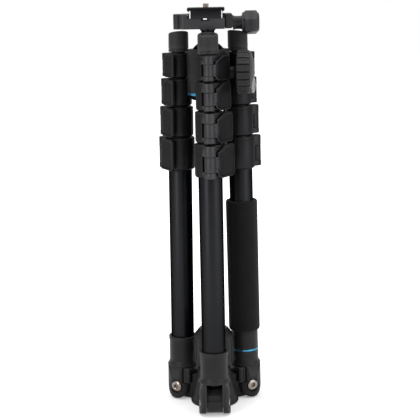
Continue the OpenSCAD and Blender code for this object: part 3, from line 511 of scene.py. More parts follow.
def carve(mesh, cutter):
    """The mesh less the cutter's solid."""
    base, tool = bpy.data.objects.new("base", mesh), bpy.data.objects.new("tool", cutter)
    link(base)
    link(tool)
    cut = base.modifiers.new("cut", "BOOLEAN")
    cut.operation, cut.solver, cut.object = "DIFFERENCE", "MANIFOLD", tool
    bpy.context.view_layer.update()
    seen = base.evaluated_get(bpy.context.evaluated_depsgraph_get())
    made = bpy.data.meshes.new_from_object(seen)
    made.materials.clear()
    bpy.data.objects.remove(base)
    bpy.data.objects.remove(tool)
    return made


def box(x, y, z, ease):
    """A block between three pairs of limits."""
    return slab(eased(oblong(*x, *y), ease, 2), *z, ease)


def collar_mesh(k):
    """Collar k in its leg's own frame: a turned body with a groove under its rim, less the lever's slot,
    and two D-shaped knuckles, each a half circle round the hinge pin run back into the body. The slot's
    faces take material 1, a black that is painted shade, and the knuckles material 2, a lighter copy of
    the plastic that is a painted highlight on the front leg."""
    low, high, r = LOCK_Z[k], LOCK_Z[k] + LOCK_H[k], COLLAR_R[k]
    inner = TUBE_R - TUBE_STEP * (k + 1) + 0.3
    body = eased([
        (inner, low), (r - 1.65, low), (r, low + 1.65), (r, high - 3.9), (r - 0.3, high - 3.6),
        (r - 0.3, high - 3.3), (r, high - 3.0), (r, high - 0.9), (r - 0.9, high), (inner + 0.7, high),
        (inner, high - 0.6)], [.2, .8, .9, .15, .1, .1, .15, .5, .5, .4, .3], 3)
    ho, kr = HINGE_OUT[k], KNUCKLE_R[k]
    slot = box((-kr - 2.1, kr + 0.4), (-r - 3, 2.7 - r), (ARM_LOW[k] - 0.1, ARM_HIGH[k] + 0.1), 0.35)
    carved = carve(skin("body", [shell(turned(body), True)]), skin("slot", [slot]))
    x, y, z = rows_of(carved.polygons, "center").T / MM
    # Faces inside the lever's slot, which are painted black as shade.
    painted_shade_faces = (np.abs(x + 0.85) < kr + 1.3) & (y < 2.75 - r) & (np.hypot(x, y) < r - 0.3)
    painted_shade_faces &= (z > ARM_LOW[k] - 0.15) & (z < ARM_HIGH[k] + 0.15)
    carved.polygons.foreach_set("material_index", painted_shade_faces.astype(int))
    half = lower_half((kr + 0.35, kr)) + [0, -ho]
    plan = eased(np.concatenate([[(-kr - 0.35, 3.2 - r)], half, [(kr + 0.35, 3.2 - r)]]), 0.1, 2)
    spans = ((low + 0.8, ARM_LOW[k]), (ARM_HIGH[k], high - 0.8))
    pair = skin("knuckles", [slab(plan, *span, 0.55) for span in spans])
    pair.polygons.foreach_set("material_index", np.full(len(pair.polygons), 2))
    return joined("collar", [carved, pair])


for k in range(4):
    collar = collar_mesh(k)
    for side in LEGS:
        placed = collar.copy()
        placed.transform(on_leg(side))
        node = f"{side}_collar_1" if k == 0 else f"{side}_section_{k + 1}"
        lock = stand(f"{side}_lock_collar_{k + 1}", placed, lock_plastic)
        # Material 1 is painted shade in the slot; material 2 is a painted highlight on the front leg's
        # knuckles.
        lock.data.materials.append(slot_painted_shade)
        lock.data.materials.append(hinge_painted_highlight if side == "front" else lock_plastic)
        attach(lock, carrier[node])
        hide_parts(node)

# Flip levers: moulded levers on steel pins. An arm comes from between the knuckles, turns the corner
# and widens into a paddle with a raised rim, which lies along the collar when the lock is shut.
REACH, END_BACK, LEVER_T, ARM_INSET = 9.6, 5.7, 2.8, 1.1


def lever_path(k):
    """Points along the lever's outer face in plan, from the pin to the tip, and the unit normals
    that point from them towards the collar."""
    r, tip = COLLAR_R[k], np.array([COLLAR_R[k] + REACH, END_BACK])
    off = r + 0.3 + LEVER_T
    facing = math.atan2(tip[1], tip[0]) - math.acos(off / np.hypot(*tip))
    out = np.array([math.cos(facing), math.sin(facing)])
    along = np.array([out[1], -out[0]])
    corner = off * out + 0.62 * r * along
    start = np.array([0, ARM_INSET - HINGE_OUT[k] - KNUCKLE_R[k]])
    line = eased([start, corner, tip], [0, 4.5, 0], 10, loop=False)
    way = np.gradient(line, axis=0)
    way /= np.linalg.norm(way, axis=1, keepdims=True)
    return line, np.stack([-way[:, 1], way[:, 0]], -1)


def resampled(outline, count):
    """Closed outline with its points spaced evenly along it."""
    ring = np.concatenate([outline, outline[:1]])
    run = np.concatenate([[0], np.cumsum(np.linalg.norm(np.diff(ring, axis=0), axis=1))])
    at = np.linspace(0, run[-1], count, endpoint=False)
    return np.stack([np.interp(at, run, ring[:, i]) for i in (0, 1)], -1)


def lever_mesh(k):
    """Lever k in its leg's own frame. The flat outline (s, z) runs from the pin along the path; rows shrink
    from its rim to its middle on both faces, and a point (s, z, depth) goes to path(s) + depth normal(s).
    The faces near the pin take material 1, a lighter copy of the plastic that is a painted highlight on the
    front leg."""
    line, inward = lever_path(k)
    run = np.concatenate([[0], np.cumsum(np.linalg.norm(np.diff(line, axis=0), axis=1))])

    def run_to(out):
        """How far along the path a point lies that is that far beyond the knuckles."""
        return float(np.interp(kr + out, line[:, 0], run))

    def rod(r, bottom, top, cut, steps):
        """Closed cylinder round the hinge pin's axis."""
        profile = eased(oblong(0, r, bottom, top), cut, loop=False)
        return shell(turned(profile, steps) + [0, -HINGE_OUT[k], 0])

    tall, kr, end = LOCK_H[k], KNUCKLE_R[k], run[-1]
    low, high = LOCK_Z[k] + 0.5, LOCK_Z[k] + tall - 0.5
    arm_low, arm_high, bevel = ARM_LOW[k] + 0.3, ARM_HIGH[k] - 0.3, 0.085 * tall
    flat = [(0, arm_low), (run_to(2.0), arm_low), (run_to(3.0), arm_low - 0.11 * tall), (run_to(6.0), low),
            (end - bevel, low), (end, low + bevel), (end, high - bevel), (end - bevel, high),
            (run_to(11.0), high), (run_to(3.0), arm_high + 0.13 * tall), (run_to(2.6), arm_high),
            (0, arm_high)]
    outline = resampled(eased(flat, [.2, .7, .8, 1.5, 1.5, 1.5, 1.5, 1.5, 1.5, .8, .6, .2], 4), 168)
    middle = np.array([0.58 * end, 0.45 * low + 0.55 * high])
    front, back = inset(outline, 2.1), inset(outline, 0.5)
    levels = [(middle + share * (front - middle), 0.3) for share in np.linspace(0, 1, 9)]
    levels += [(inset(outline, 1.75), 0.05), (inset(outline, 1.45), 0.0)]
    levels += [(inset(outline, 1.1 * inwards), 1.1 * down) for inwards, down in quarter(6)]
    levels += [(inset(outline, 0.5 * inwards), LEVER_T - 0.5 * up) for inwards, up in quarter(4)[::-1]]
    levels += [(middle + share * (back - middle), LEVER_T) for share in np.linspace(0.9, 0, 8)]
    rows = []
    for flat_row, depth in levels:
        s = flat_row[:, 0]
        x, y = [np.interp(s, run, line[:, i]) + depth * np.interp(s, run, inward[:, i]) for i in (0, 1)]
        rows.append(np.column_stack([x, y, flat_row[:, 1]]))
    barrel = rod(kr - 0.05, arm_low, arm_high, 0.5, 48)
    pin = rod(1.5, LOCK_Z[k] + 0.75, LOCK_Z[k] + tall - 0.75, 0.3, 24)
    mesh = skin("lever", [shell(np.stack(rows)), barrel, pin])
    # Faces near the pin: on the front leg they take the painted highlight.
    painted_highlight_near_pin = rows_of(mesh.polygons, "center")[:, 0] < (kr + 2.6) * MM
    mesh.polygons.foreach_set("material_index", painted_highlight_near_pin.astype(int))
    return mesh


for k in range(4):
    lever = lever_mesh(k)
    for side in LEGS:
        placed = lever.copy()
        placed.transform(on_leg(side))
        flip = stand(f"{side}_flip_lever_{k + 1}", placed, lock_plastic, 40)
        # Only the front leg's levers take the lighter copy near the pin, a painted highlight.
        flip.data.materials.append(hinge_painted_highlight if side == "front" else lock_plastic)
        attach(flip, carrier[f"{side}_lever_{k + 1}"])
        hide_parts(f"{side}_lever_{k + 1}")

# Feet: moulded rubber feet pushed over the ends of the thinnest tubes. The sole is cut at a slant,
# so that it lies flat on the ground when the leg is spread, and has a sunk middle.
FOOT_R, FOOT_H, SOLE_SLANT = 10.5, 21.8, math.radians(12)
FOOT_TURN = {"front": 0.0, "right": 20.0, "left": -40.0}
foot_rubber = finish("foot_rubber", (0.019, 0.0185, 0.0195), 0.55, grain=1500, bump=0.25, wear_and_rim_highlight=0.3,
                     shine=0.15)


def foot_grid():
    """Rows up the side, over a groove near its foot, to a round edge that follows the slanted sole,
    whose height at y is top + (y - y0) tan slant, then in over the sole, down a step and to its middle."""
    t = circle(96)

    def under_sole(r, drop):
        """Row of that radius, so far below the sole."""
        slope = np.minimum(r * np.sin(t) - FOOT_R + 1.2, 0) * math.tan(SOLE_SLANT)
        return polar(r, t, FOOT_Z + FOOT_H + slope - drop)

    side = eased([(9.4, 0), (10.3, 0), (FOOT_R, 0.5), (FOOT_R, 2.6), (10.15, 2.9), (10.15, 3.3),
                  (FOOT_R, 3.6)], 0.2, 2, loop=False)
    rows = [polar(0, t, FOOT_Z)] + [polar(r, t, FOOT_Z + z) for r, z in side]
    edge, edge_r = 1.5, FOOT_R - 0.1
    top = under_sole(edge_r, edge)[:, 2]
    for share in (0.35, 0.7, 1.0):
        rows.append(polar(FOOT_R - 0.1 * share, t, (FOOT_Z + 3.6) * (1 - share) + top * share))
    for b in np.linspace(0.2, np.pi / 2, 7):
        rows.append(under_sole(edge_r - edge * (1 - np.cos(b)), edge * (1 - np.sin(b))))
    inner = ((8.0, 0), (7.4, 0), (7.0, 0.35), (6.9, 1.1), (4.6, 1.2), (4.3, 0.7), (3.9, 0.6), (0, 0.6))
    return np.stack(rows + [under_sole(r, drop) for r, drop in inner])


for side in LEGS:
    foot_mesh = skin("foot", [shell(foot_grid())], on_leg(side) @ spun(FOOT_TURN[side], "Z"))
    foot = stand(side + "_rubber_foot", foot_mesh, foot_rubber)
    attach(foot, carrier[side + "_foot"])
    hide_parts(side + "_foot")

# Detachable leg's joint: a blue anodised ring over the short casting, a painted sleeve screwed down
# on it, and a long grip of closed-cell foam pushed over the first tube.
RING_Z, SLEEVE_Z, FOAM_Z, FOAM_H, FOAM_R = 38.6, 40.6, 61.6, 144.0, 17.0
# The pale blue given for its edges is a painted highlight on the ring's rims.
blue_anodised = finish("blue_anodised", (0.025, 0.19, 0.36), 0.2, metal=0.8, grain=900, bump=0.03,
                       wear_and_rim_highlight=0.5, worn_and_lit_colour=(0.45, 0.8, 0.95))
ring_profile = eased([(12.6, RING_Z), (14.7, RING_Z), (15.0, RING_Z + 0.6), (15.0, SLEEVE_Z - 0.6),
                      (14.7, SLEEVE_Z), (12.6, SLEEVE_Z)], 0.4)
ring = stand("joint_ring", skin("ring", [shell(turned(ring_profile), True)], on_leg("right")), blue_anodised)
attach(ring, carrier["sleeve_ring"])
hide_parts("sleeve_ring")

sleeve_profile = eased([
    (12.6, SLEEVE_Z), (14.3, SLEEVE_Z), (14.6, SLEEVE_Z + 0.4), (14.6, FOAM_Z - 2.6),
    (14.3, FOAM_Z - 2.3), (14.3, FOAM_Z - 1.9), (14.6, FOAM_Z - 1.6), (14.6, FOAM_Z - 0.5),
    (14.1, FOAM_Z), (12.6, FOAM_Z)], 0.25, 3)
sleeve_mesh = skin("sleeve", [shell(turned(sleeve_profile), True)], on_leg("right"))
sleeve = stand("joint_sleeve", sleeve_mesh, casting_paint)
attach(sleeve, carrier["monopod_sleeve"])
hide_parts("monopod_sleeve")


def foam_finish():
    """Closed-cell foam: Voronoi cells of about half a millimetre in the bump, over a slow unevenness."""
    made = finish("foam", (0.0085, 0.0082, 0.0085), 0.85, bump=0.0, drift=0.25, wear_and_rim_highlight=0.0, shine=0.1)
    nodes, join = made.node_tree.nodes, made.node_tree.links.new
    relief = nodes["Bump"]
    cell = nodes.new("ShaderNodeTexVoronoi")
    cell.inputs["Scale"].default_value = 1700.0
    join(nodes["Texture Coordinate"].outputs["Object"], cell.inputs["Vector"])
    join(cell.outputs["Distance"], relief.inputs["Height"])
    relief.inputs["Strength"].default_value = 0.5
    relief.inputs["Distance"].default_value = 0.0003
    nodes["Principled BSDF"].inputs["Sheen Weight"].default_value = 0.05
    return made


foam = foam_finish()
foam_top = FOAM_Z + FOAM_H
foam_profile = eased([
    (12.6, FOAM_Z + 1.2), (13.6, FOAM_Z), (FOAM_R, FOAM_Z), (FOAM_R, foam_top), (13.6, foam_top),
    (12.6, foam_top - 1.2)], [.3, .6, 3, 3, .6, .3], 8)
grip_mesh = skin("grip", [shell(turned(foam_profile, 128), True)], on_leg("right"))
grip = stand("foam_sleeve", grip_mesh, foam, 60)
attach(grip, carrier["foam_grip"])
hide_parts("foam_grip")

# Head: a tapered black foot screwed to the column, a blue ring, and the ball's housing, turned from
# aluminium and painted, with a drop notch at its back and a boss for the locking knob.
HOUSING_Z, HOUSING_TOP, HOUSING_R, RING_LOW = 337.9, 382.2, 22.38, 335.0
BALL_Z, BALL_R, NECK_R, CLAMP_Z = 371.2, 19.5, 6.85, 402.9
black_anodised = finish("black_anodised", (0.0055, 0.0053, 0.0062), 0.30, metal=0.8, grain=1200,
                        bump=0.04, wear_and_rim_highlight=0.6, shine=0.1, edge=0.0)
housing_paint = finish("housing_paint", (0.0105, 0.0095, 0.0098), 0.42, grain=3200, bump=0.25)
foot_profile = eased([
    (0, 320.2), (9.4, 320.2), (9.4, 330.2), (17.5, 330.2), (20.9, 332.4), (21.9, 334.9), (17, 334.9),
    (17, 337.8), (0, 337.8)], [.1, .3, .3, .6, 1.2, .4, .2, .2, .1], loop=False)
pan_foot = stand("pan_foot", skin("pan_foot", [shell(turned(foot_profile))]), black_anodised)
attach(pan_foot, carrier["pan_base"])
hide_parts("pan_base")

pan_ring_profile = eased([
    (17.1, RING_LOW), (22.0, RING_LOW), (22.28, RING_LOW + 0.5), (22.28, HOUSING_Z - 0.6),
    (22.0, HOUSING_Z - 0.1), (17.1, HOUSING_Z - 0.1)], 0.3)
pan_ring = stand("head_ring", skin("pan_ring", [shell(turned(pan_ring_profile), True)]), blue_anodised)
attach(pan_ring, carrier["pan_ring"])
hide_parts("pan_ring")

KNOB_IN, KNOB_FORWARD, KNOB_UP, KNOB_TURN = 29.8, 18.0, 21.0, 6.0
at_knob = moved(KNOB_IN, -KNOB_FORWARD, HOUSING_Z + KNOB_UP) @ spun(-KNOB_TURN, "Z") @ spun(90, "Y")
at_pan_knob = moved(0, HOUSING_R, HOUSING_Z + 8) @ spun(-90, "X")
housing_profile = eased([
    (0, HOUSING_Z), (21.5, HOUSING_Z), (HOUSING_R, HOUSING_Z + 0.8), (HOUSING_R, HOUSING_TOP - 1.6),
    (HOUSING_R - 1.5, HOUSING_TOP), (17.3, HOUSING_TOP), (16.2, HOUSING_TOP - 0.8),
    (17.6, HOUSING_TOP - 3.2), (0, HOUSING_TOP - 3.2)], [.1, .4, .4, 1.0, 1.0, .5, .3, .1, .1], loop=False)
NOTCH_R, NOTCH_TOP = 7.65, 390
notch = [*lower_half(NOTCH_R) + [0, BALL_Z], (NOTCH_R, NOTCH_TOP), (-NOTCH_R, NOTCH_TOP)]
notch = eased(notch, 0.1, 2)
notch_mesh = skin("notch", [slab(notch, 6.0, 30.0, 0.2, "xzy")])
housing_mesh = carve(skin("housing", [shell(turned(housing_profile, 128))]), notch_mesh)
boss_profile = eased([(0, -20), (6.2, -20), (6.2, -4.5), (5.0, -1.6), (4.2, -0.4), (0, -0.4)],
                     [.1, .2, 1.5, 1, .6, .1], loop=False)
boss_mesh = skin("boss", [shell(turned(boss_profile, 48))], at_knob)
housing = stand("ball_housing", joined("housing_whole", [housing_mesh, boss_mesh]), housing_paint)
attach(housing, carrier["head_housing"])
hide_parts("head_housing")

ball_arc = np.linspace(0, np.pi - math.asin(NECK_R / BALL_R), 40)
ball_curve = np.stack([BALL_R * np.sin(ball_arc), BALL_Z - BALL_R * np.cos(ball_arc)], -1)
ball_profile = np.concatenate([ball_curve, [
    (NECK_R, 392), (NECK_R, 400.5), (NECK_R + 1.2, 401.4), (NECK_R + 1.2, CLAMP_Z), (5, CLAMP_Z),
    (5, 405), (0, 405)]])
ball = stand("ball_and_neck", skin("ball", [shell(turned(ball_profile, 96))]), black_anodised)
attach(ball, carrier["ball_stem"])
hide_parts("ball_stem")

# Locking knob: a rubbery moulded knob with eighteen broad ribs and a domed end, on a shaft into the
# housing. A small silver drag dial is let into its face, and a small knob at the back locks the pan.
knob_rubber = finish("knob_rubber", (0.020, 0.0195, 0.0205), 0.48, grain=1600, bump=0.2, wear_and_rim_highlight=0.4)
dial_silver = finish("dial_silver", (0.155, 0.152, 0.152), 0.3, metal=0.9, grain=1200, bump=0.08, wear_and_rim_highlight=0.2)


def ribbed(profile, count, share, depth, fade, steps, turn=0.0, fine=0.0):
    """Turned surface whose radius falls by depth in narrow grooves, count of them round from the angle
    turn, each taking that share of its pitch, wherever fade(r, z) says so. Between them it is slightly
    crowned, and a shallow line, fine deep, runs midway."""
    t = circle(steps)
    r, z = np.asarray(profile, float).T[:, :, None]
    phase = np.abs(np.mod((t - turn) * count / (2 * np.pi) + 0.5, 1) - 0.5) * 2
    groove = np.clip(1 - (phase / share) ** 2, 0, 1) ** 0.5
    crown = 0.35 * (phase - share) ** 2
    line = fine * np.clip(1 - ((1 - phase) / 0.14) ** 2, 0, 1)
    return polar(r - (depth * (groove + crown * (groove == 0)) + line) * fade(r, z), t, z)


knob_profile = eased([
    (0, 0), (20.6, 0), (22.0, 0.7), (22.5, 1.6), (22.5, 10.6), (22.0, 12.0), (21.2, 13.0), (20.2, 13.1),
    (20.2, 13.6), (19.9, 13.9), (15.4, 15.4), (8.7, 16.6), (0, 17.3)],
    [.1, .8, .5, .5, .8, 1, .3, .1, .1, .3, 3, 4, .1], 5, loop=False)
knob_profile = np.concatenate([[(0, 0), (8, 0), (16, 0)], knob_profile[1:]])
knob_grid = ribbed(knob_profile, 18, 0.26, 2.0, lambda r, z: np.clip((r - 20.9) / 0.9, 0, 1), 576,
                   math.radians(5.9), 0.3)
DIAL_OFF, DIAL_SEAT, DIAL_TILT = 13, 12.8, 10
in_knob = moved(DIAL_OFF, 0, DIAL_SEAT) @ spun(DIAL_TILT, "X") @ moved(0, 0, -DIAL_SEAT)
dial_well = turned(eased(oblong(0, 8.8, 12.6, 26), 0.1, loop=False), 64)
knob_mesh = carve(skin("knob", [shell(knob_grid)]), skin("well", [shell(dial_well)], in_knob))
shaft_mesh = skin("shaft", [shell(turned(eased(oblong(0, 4, -13, 1), 0.3, loop=False), 32))])
knob_mesh = joined("knob_whole", [knob_mesh, shaft_mesh])
knob_mesh.transform(at_knob)
knob = stand("ball_lock_knob", knob_mesh, knob_rubber)
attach(knob, carrier["main_knob"])
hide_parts("main_knob")

dial_profile = eased([
    (0, 8), (2.4, 8), (2.4, 12.9), (8.2, 12.9), (8.5, 13.2), (8.5, 15.9), (8.0, 16.4), (5.2, 16.5),
    (5.0, 16.2), (0, 16.2)], [.1, .2, .1, .2, .3, .3, .3, .2, .1, .1], 3, loop=False)
dial_grid = ribbed(dial_profile, 30, 0.5, 0.8, lambda r, z: np.clip((r - 7.6) / 0.5, 0, 1), 432)
dial = stand("drag_dial_cap", skin("dial", [shell(dial_grid)], at_knob @ in_knob), dial_silver)
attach(dial, carrier["drag_dial"])
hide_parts("drag_dial")

pan_profile = eased([
    (0, -9), (2.5, -9), (2.5, 1.7), (6.0, 1.7), (6.5, 2.4), (6.5, 11.2), (5.6, 12.4), (0, 12.6)],
    [.1, .2, .1, .4, .4, .8, 1, .1], 4, loop=False)
pan_grid = ribbed(pan_profile, 12, 0.35, 0.6, lambda r, z: np.clip((r - 5.6) / 0.5, 0, 1) * (z > 2.6), 288)
pan = stand("pan_lock_knob", skin("pan", [shell(pan_grid)], at_pan_knob), knob_rubber)
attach(pan, carrier["pan_knob"])
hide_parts("pan_knob")

# Clamp: a milled and bead-blasted body with a fixed jaw and a grooved end, a loose jaw on guide pins,
# and a six-sided knob on the clamping screw.
SHIFT, CLAMP_H, FLOOR, AXIS = 1.6, 15.1, 10.8, 5.5
clamp_blast = finish("clamp_blast", (0.0205, 0.0200, 0.0215), 0.40, metal=0.5, grain=2400, bump=0.4,
                     wear_and_rim_highlight=0.5)
jaw_plastic = finish("jaw_plastic", (0.018, 0.0175, 0.0185), 0.45, bump=0.25, wear_and_rim_highlight=0.4)
on_clamp = moved(-SHIFT, 0, CLAMP_Z)
half = 20.5
side_half = [(19, -half), (-24, -half), (-27, 4 - half), (-27, 6 - half), (-28.8, 6 - half),
             (-28.8, 4.8 - half), (-33.5, -12)]
clamp_plan = eased(side_half + [(x, -y) for x, y in side_half[::-1]],
                   [.6, 1.5, .3, .3, .3, .3, 2, 2, .3, .3, .3, .3, 1.5, .6], 3)
room = eased([
    (-19.3, FLOOR), (-19.3, FLOOR + 2.5), (-17.3, FLOOR + 4.3), (-17.3, 20), (25, 20), (25, FLOOR),
    (1, FLOOR), (1, FLOOR - 2.3), (-3, FLOOR - 2.3), (-3, FLOOR)], 0.15, 2)
room_mesh = skin("room", [slab(room, -30, 30, 0.1, "xzy")])
mouths = [box((-5, 3), y, (FLOOR - 2.5, FLOOR + 1), 0.2) for y in ((-30, -17), (17, 30))]
clamp_mesh = carve(skin("clamp", [slab(clamp_plan, 0, CLAMP_H, 0.3)]), room_mesh)
clamp_mesh = carve(clamp_mesh, skin("mouths", mouths))
clamp_mesh.transform(on_clamp)
clamp = stand("clamp_block", clamp_mesh, clamp_blast)
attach(clamp, carrier["clamp_body"])
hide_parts("clamp_body")

jaw_outline = eased([
    (19.4, 0.3), (25.9, 0.3), (27.4, 1.8), (27.4, 13.6), (25.9, 15.1), (17.3, 15.1), (19.3, 13.3),
    (19.4, 12.9)], [.4, .8, .8, .8, .8, .2, .2, .2], 4)


def along_x(profile, steps=64, y=0):
    """A turned surface with its axis along X at the clamping screw's height."""
    return shell(turned(profile, steps)[..., [2, 1, 0]] + [0, y, AXIS])


guide_rows = eased(oblong(0, 1.5, 8, 20), 0.2, loop=False)
guides = [along_x(guide_rows, 24, y) for y in (-12, 12)]
jaw_mesh = skin("jaw", [slab(jaw_outline, -18, 18, 0.6, "xzy"), *guides], on_clamp)
jaw = stand("loose_jaw", jaw_mesh, jaw_plastic)
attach(jaw, carrier["clamp_jaw"])
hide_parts("clamp_jaw")

KNOB_LOW, KNOB_ACROSS, KNOB_ROLL, KNOB_CORNER = 37.0, 11.1, math.radians(16), 12.75


def six_sided():
    """Clamp knob: rows along the axis hold r(t) = (hex^-n + corner^-n)^(-1/n), a hexagon whose corners are
    turned down round, shrunk at both ends to bevels."""
    t = circle(144)
    hex_r = hexagon(t + KNOB_ROLL, KNOB_ACROSS)
    body = (hex_r ** -40.0 + KNOB_CORNER ** -40.0) ** (-1 / 40.0)
    ends = [(0, 0), (0.55, 0), (0.80, 0), (0.845, 0.25), (0.865, 1.7), (0.985, 3.3), (1, 3.7), (1, 9),
            (1, 14.2), (0.985, 14.6), (0.80, 16.5), (0.74, 17.4), (0.70, 17.6), (0.45, 17.6),
            (0.42, 17.2), (0, 17.2)]
    share, x = np.array(ends).T[:, :, None]
    round_part = np.clip((1 - share) * 3.5, 0, 1)
    r = share * (body * (1 - round_part) + 12.0 * round_part)
    return np.stack([x + KNOB_LOW + 0 * t, r * np.cos(t), r * np.sin(t) + AXIS], -1)


sleeve_rows = eased([
    (0, 27.6), (7.2, 27.6), (7.2, 29.2), (6.7, 29.8), (6.7, 35.8), (7.2, 36.4), (7.2, 37.2), (0, 37.2)],
    [.1, .3, .3, .4, .4, .3, .2, .1], 3, loop=False)
screw_rows = eased(oblong(0, 3, 6, 28.6), 0.3, loop=False)
knob_shells = [shell(six_sided()), along_x(sleeve_rows), along_x(screw_rows, 32)]
clamp_knob = stand("clamp_knob_body", skin("clamp_knob", knob_shells, on_clamp), clamp_blast)
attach(clamp_knob, carrier["clamp_knob"])
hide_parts("clamp_knob")

# Camera plate: an extruded and black anodised dovetail plate. Its four corners are cut away below,
# with a bright milled bevel beside each cut, and the steel camera screw stands up through its middle.
PLATE_Z, PLATE_T, PLATE_HALF, PLATE_W = 413.8, 10.4, 24.0, 19.0
on_plate = moved(-SHIFT, 0, PLATE_Z)
cuts = [.3, .4, .4, .4, .4, .5, .5]
plate_side = [
    (PLATE_W - 1.4, 0), (PLATE_W, 1.4), (PLATE_W, 2.2), (PLATE_W - 2.5, 4.8), (PLATE_W - 2.5, 5.8),
    (PLATE_W, 7.8), (PLATE_W, PLATE_T)]
plate_outline = eased(plate_side + [(-x, z) for x, z in plate_side[::-1]], cuts + cuts[::-1], 3)
milled = finish("milled_edge", (0.75, 0.75, 0.73), 0.35, metal=0.6, grain=1500, bump=0.05, wear_and_rim_highlight=0.0,
                shine=0.5)
corner = np.array([(15.1, 24.6), (16.7, 22.7), (16.7, 20.7), (20.5, 20.7), (20.5, 24.6)])
corners = [slab(eased(corner * [a, b], 0.1, 2), -1, 7.7, 0.05) for a in (-1, 1) for b in (-1, 1)]
plate_bar = skin("plate", [slab(plate_outline, -PLATE_HALF, PLATE_HALF, 0.4, "xzy")])
plate_mesh = carve(plate_bar, skin("corners", corners))
plate_mesh.transform(on_plate)
plate = stand("camera_plate", plate_mesh, black_anodised)
plate.data.materials.append(milled)
aslant = np.abs(rows_of(plate.data.polygons, "normal")[:, :2]).min(1) > 0.4
y, z = rows_of(plate.data.polygons, "center").T[1:] / MM
bright = aslant & (np.abs(y) > 22) & (z < PLATE_Z + 7.8)
plate.data.polygons.foreach_set("material_index", bright.astype(int))
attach(plate, carrier["quick_release_plate"])
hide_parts("quick_release_plate")

SCREW_PITCH, SCREW_H, ROOT_R, THREAD_DEEP = 1.27, 4.4, 2.62, 0.55
around = circle(48)
rise = np.linspace(0, 1, 45)[:, None]
thread_z = PLATE_T + rise * SCREW_H
wave = np.abs(np.mod(thread_z / SCREW_PITCH - around / (2 * np.pi), 1) - 0.5) * 2
thread_r = (ROOT_R + THREAD_DEEP * wave) * np.clip(1 - (rise - 0.9) * 2.2, 0.8, 1)
thread = [polar(0, around, z)[None] for z in (PLATE_T, PLATE_T + SCREW_H)]
thread.insert(1, polar(thread_r, around, thread_z))
head_rows = eased([
    (0, 0.7), (7.6, 0.7), (8.0, 1.1), (8.0, 5.3), (7.6, 5.7), (2.7, 5.7), (2.7, 10.5), (0, 10.5)],
    0.3, 3, loop=False)
screw_shells = [shell(np.concatenate(thread)), shell(turned(head_rows, 64))]
screw = stand("camera_screw_body", skin("screw", screw_shells, on_plate), bright_steel)
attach(screw, carrier["camera_screw"])
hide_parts("camera_screw")

# Studio: a white background and a white floor that glows less near the tripod, two upright soft boxes
# in front on either side, and a large soft light overhead. The camera stands at the photograph's view,
# a little above and tipped down.
floor = bpy.data.objects.new("floor", bpy.data.meshes.new("floor"))
WIDE, DOWN = 6, -0.0003
floor_points = [(-WIDE, -WIDE, DOWN), (WIDE, -WIDE, DOWN), (WIDE, WIDE, DOWN), (-WIDE, WIDE, DOWN)]
floor.data.from_pydata(floor_points, [], [(0, 1, 2, 3)])
link(floor)
paper = bpy.data.materials.new("paper")
paper.use_nodes = True
paper_nodes, paper_join = paper.node_tree.nodes, paper.node_tree.links.new
matt = paper_nodes["Principled BSDF"].inputs
matt["Base Color"].default_value = (0.86, 0.86, 0.86, 1)
matt["Roughness"].default_value = 0.9
matt["Specular IOR Level"].default_value = 0.1
matt["Emission Color"].default_value = (1, 1, 1, 1)


def seen_white(nodes, join):
    """One for rays from the camera and for those mirrored or passed on by a surface, zero for the rest."""
    ray = nodes.new("ShaderNodeLightPath").outputs
    seen = ray["Is Camera Ray"]
    for kind in ("Is Glossy Ray", "Is Transmission Ray"):
        larger = nodes.new("ShaderNodeMath")
        larger.operation = "MAXIMUM"
        join(seen, larger.inputs[0])
        join(ray[kind], larger.inputs[1])
        seen = larger.outputs["Value"]
    return seen


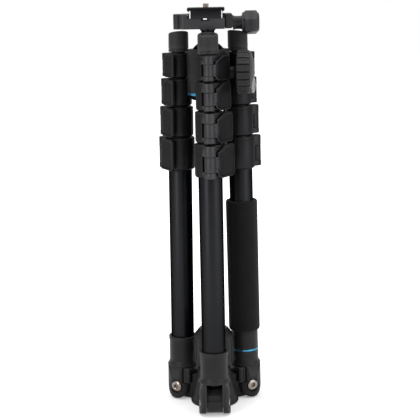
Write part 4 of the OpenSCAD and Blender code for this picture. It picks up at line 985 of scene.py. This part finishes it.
lift = paper_nodes.new("ShaderNodeMath")
lift.operation = "MULTIPLY"
reach = paper_nodes.new("ShaderNodeVectorMath")
reach.operation = "LENGTH"
fade = paper_nodes.new("ShaderNodeMapRange")
for socket, value in (("From Min", 0.1), ("From Max", 0.5), ("To Min", 0.30), ("To Max", 1.0)):
    fade.inputs[socket].default_value = value
paper_join(paper_nodes.new("ShaderNodeTexCoord").outputs["Object"], reach.inputs[0])
paper_join(reach.outputs["Value"], fade.inputs["Value"])
paper_join(fade.outputs["Result"], lift.inputs[1])
paper_join(seen_white(paper_nodes, paper_join), lift.inputs[0])
paper_join(lift.outputs["Value"], matt["Emission Strength"])
floor.data.materials.append(paper)

world = bpy.data.worlds.new("studio")
bpy.context.scene.world = world
world.use_nodes = True
sky, sky_join = world.node_tree.nodes, world.node_tree.links.new
sky["Background"].inputs["Color"].default_value = (1, 1, 1, 1)
level = sky.new("ShaderNodeMapRange")
level.inputs["To Min"].default_value, level.inputs["To Max"].default_value = 0.12, 1.0
sky_join(seen_white(sky, sky_join), level.inputs["Value"])
sky_join(level.outputs["Result"], sky["Background"].inputs["Strength"])


def soft_box(name, at, aim, size, power):
    """Rectangular lamp at a point in metres, facing another."""
    lamp = bpy.data.lights.new(name, "AREA")
    lamp.shape = "RECTANGLE"
    lamp.size, lamp.size_y = size
    lamp.energy = power
    light = bpy.data.objects.new(name, lamp)
    link(light)
    light.location = at
    light.rotation_euler = (Vector(aim) - light.location).to_track_quat("-Z", "Y").to_euler()


soft_box("left_box", (-0.95, -1.15, 0.55), (0, 0, 0.22), (0.42, 1.5), 14)
soft_box("right_box", (1.25, -0.95, 0.55), (0, 0, 0.22), (1.1, 1.4), 13)
soft_box("top_box", (0, 0.1, 1.7), (0, 0, 0), (3.0, 2.0), 46)

camera = bpy.data.objects.new("camera", bpy.data.cameras.new("camera"))
link(camera)
FOCAL_PIXELS, WIDE_PIXELS, SENSOR = 1144.2, 420, 36
camera.data.sensor_width = SENSOR
camera.data.lens = FOCAL_PIXELS / WIDE_PIXELS * SENSOR
TIP_DOWN, ROLL, SWING = 11.151, -1.12, 0.239
from_front = spun(SWING, "Z") @ moved(-1.3, -1191.8, 447.3)
camera.matrix_world = from_front @ spun(90 - TIP_DOWN, "X") @ spun(ROLL, "Z")
camera.data.clip_end = 30
bpy.context.scene.camera = camera
bpy.context.scene.view_settings.view_transform = "Standard"
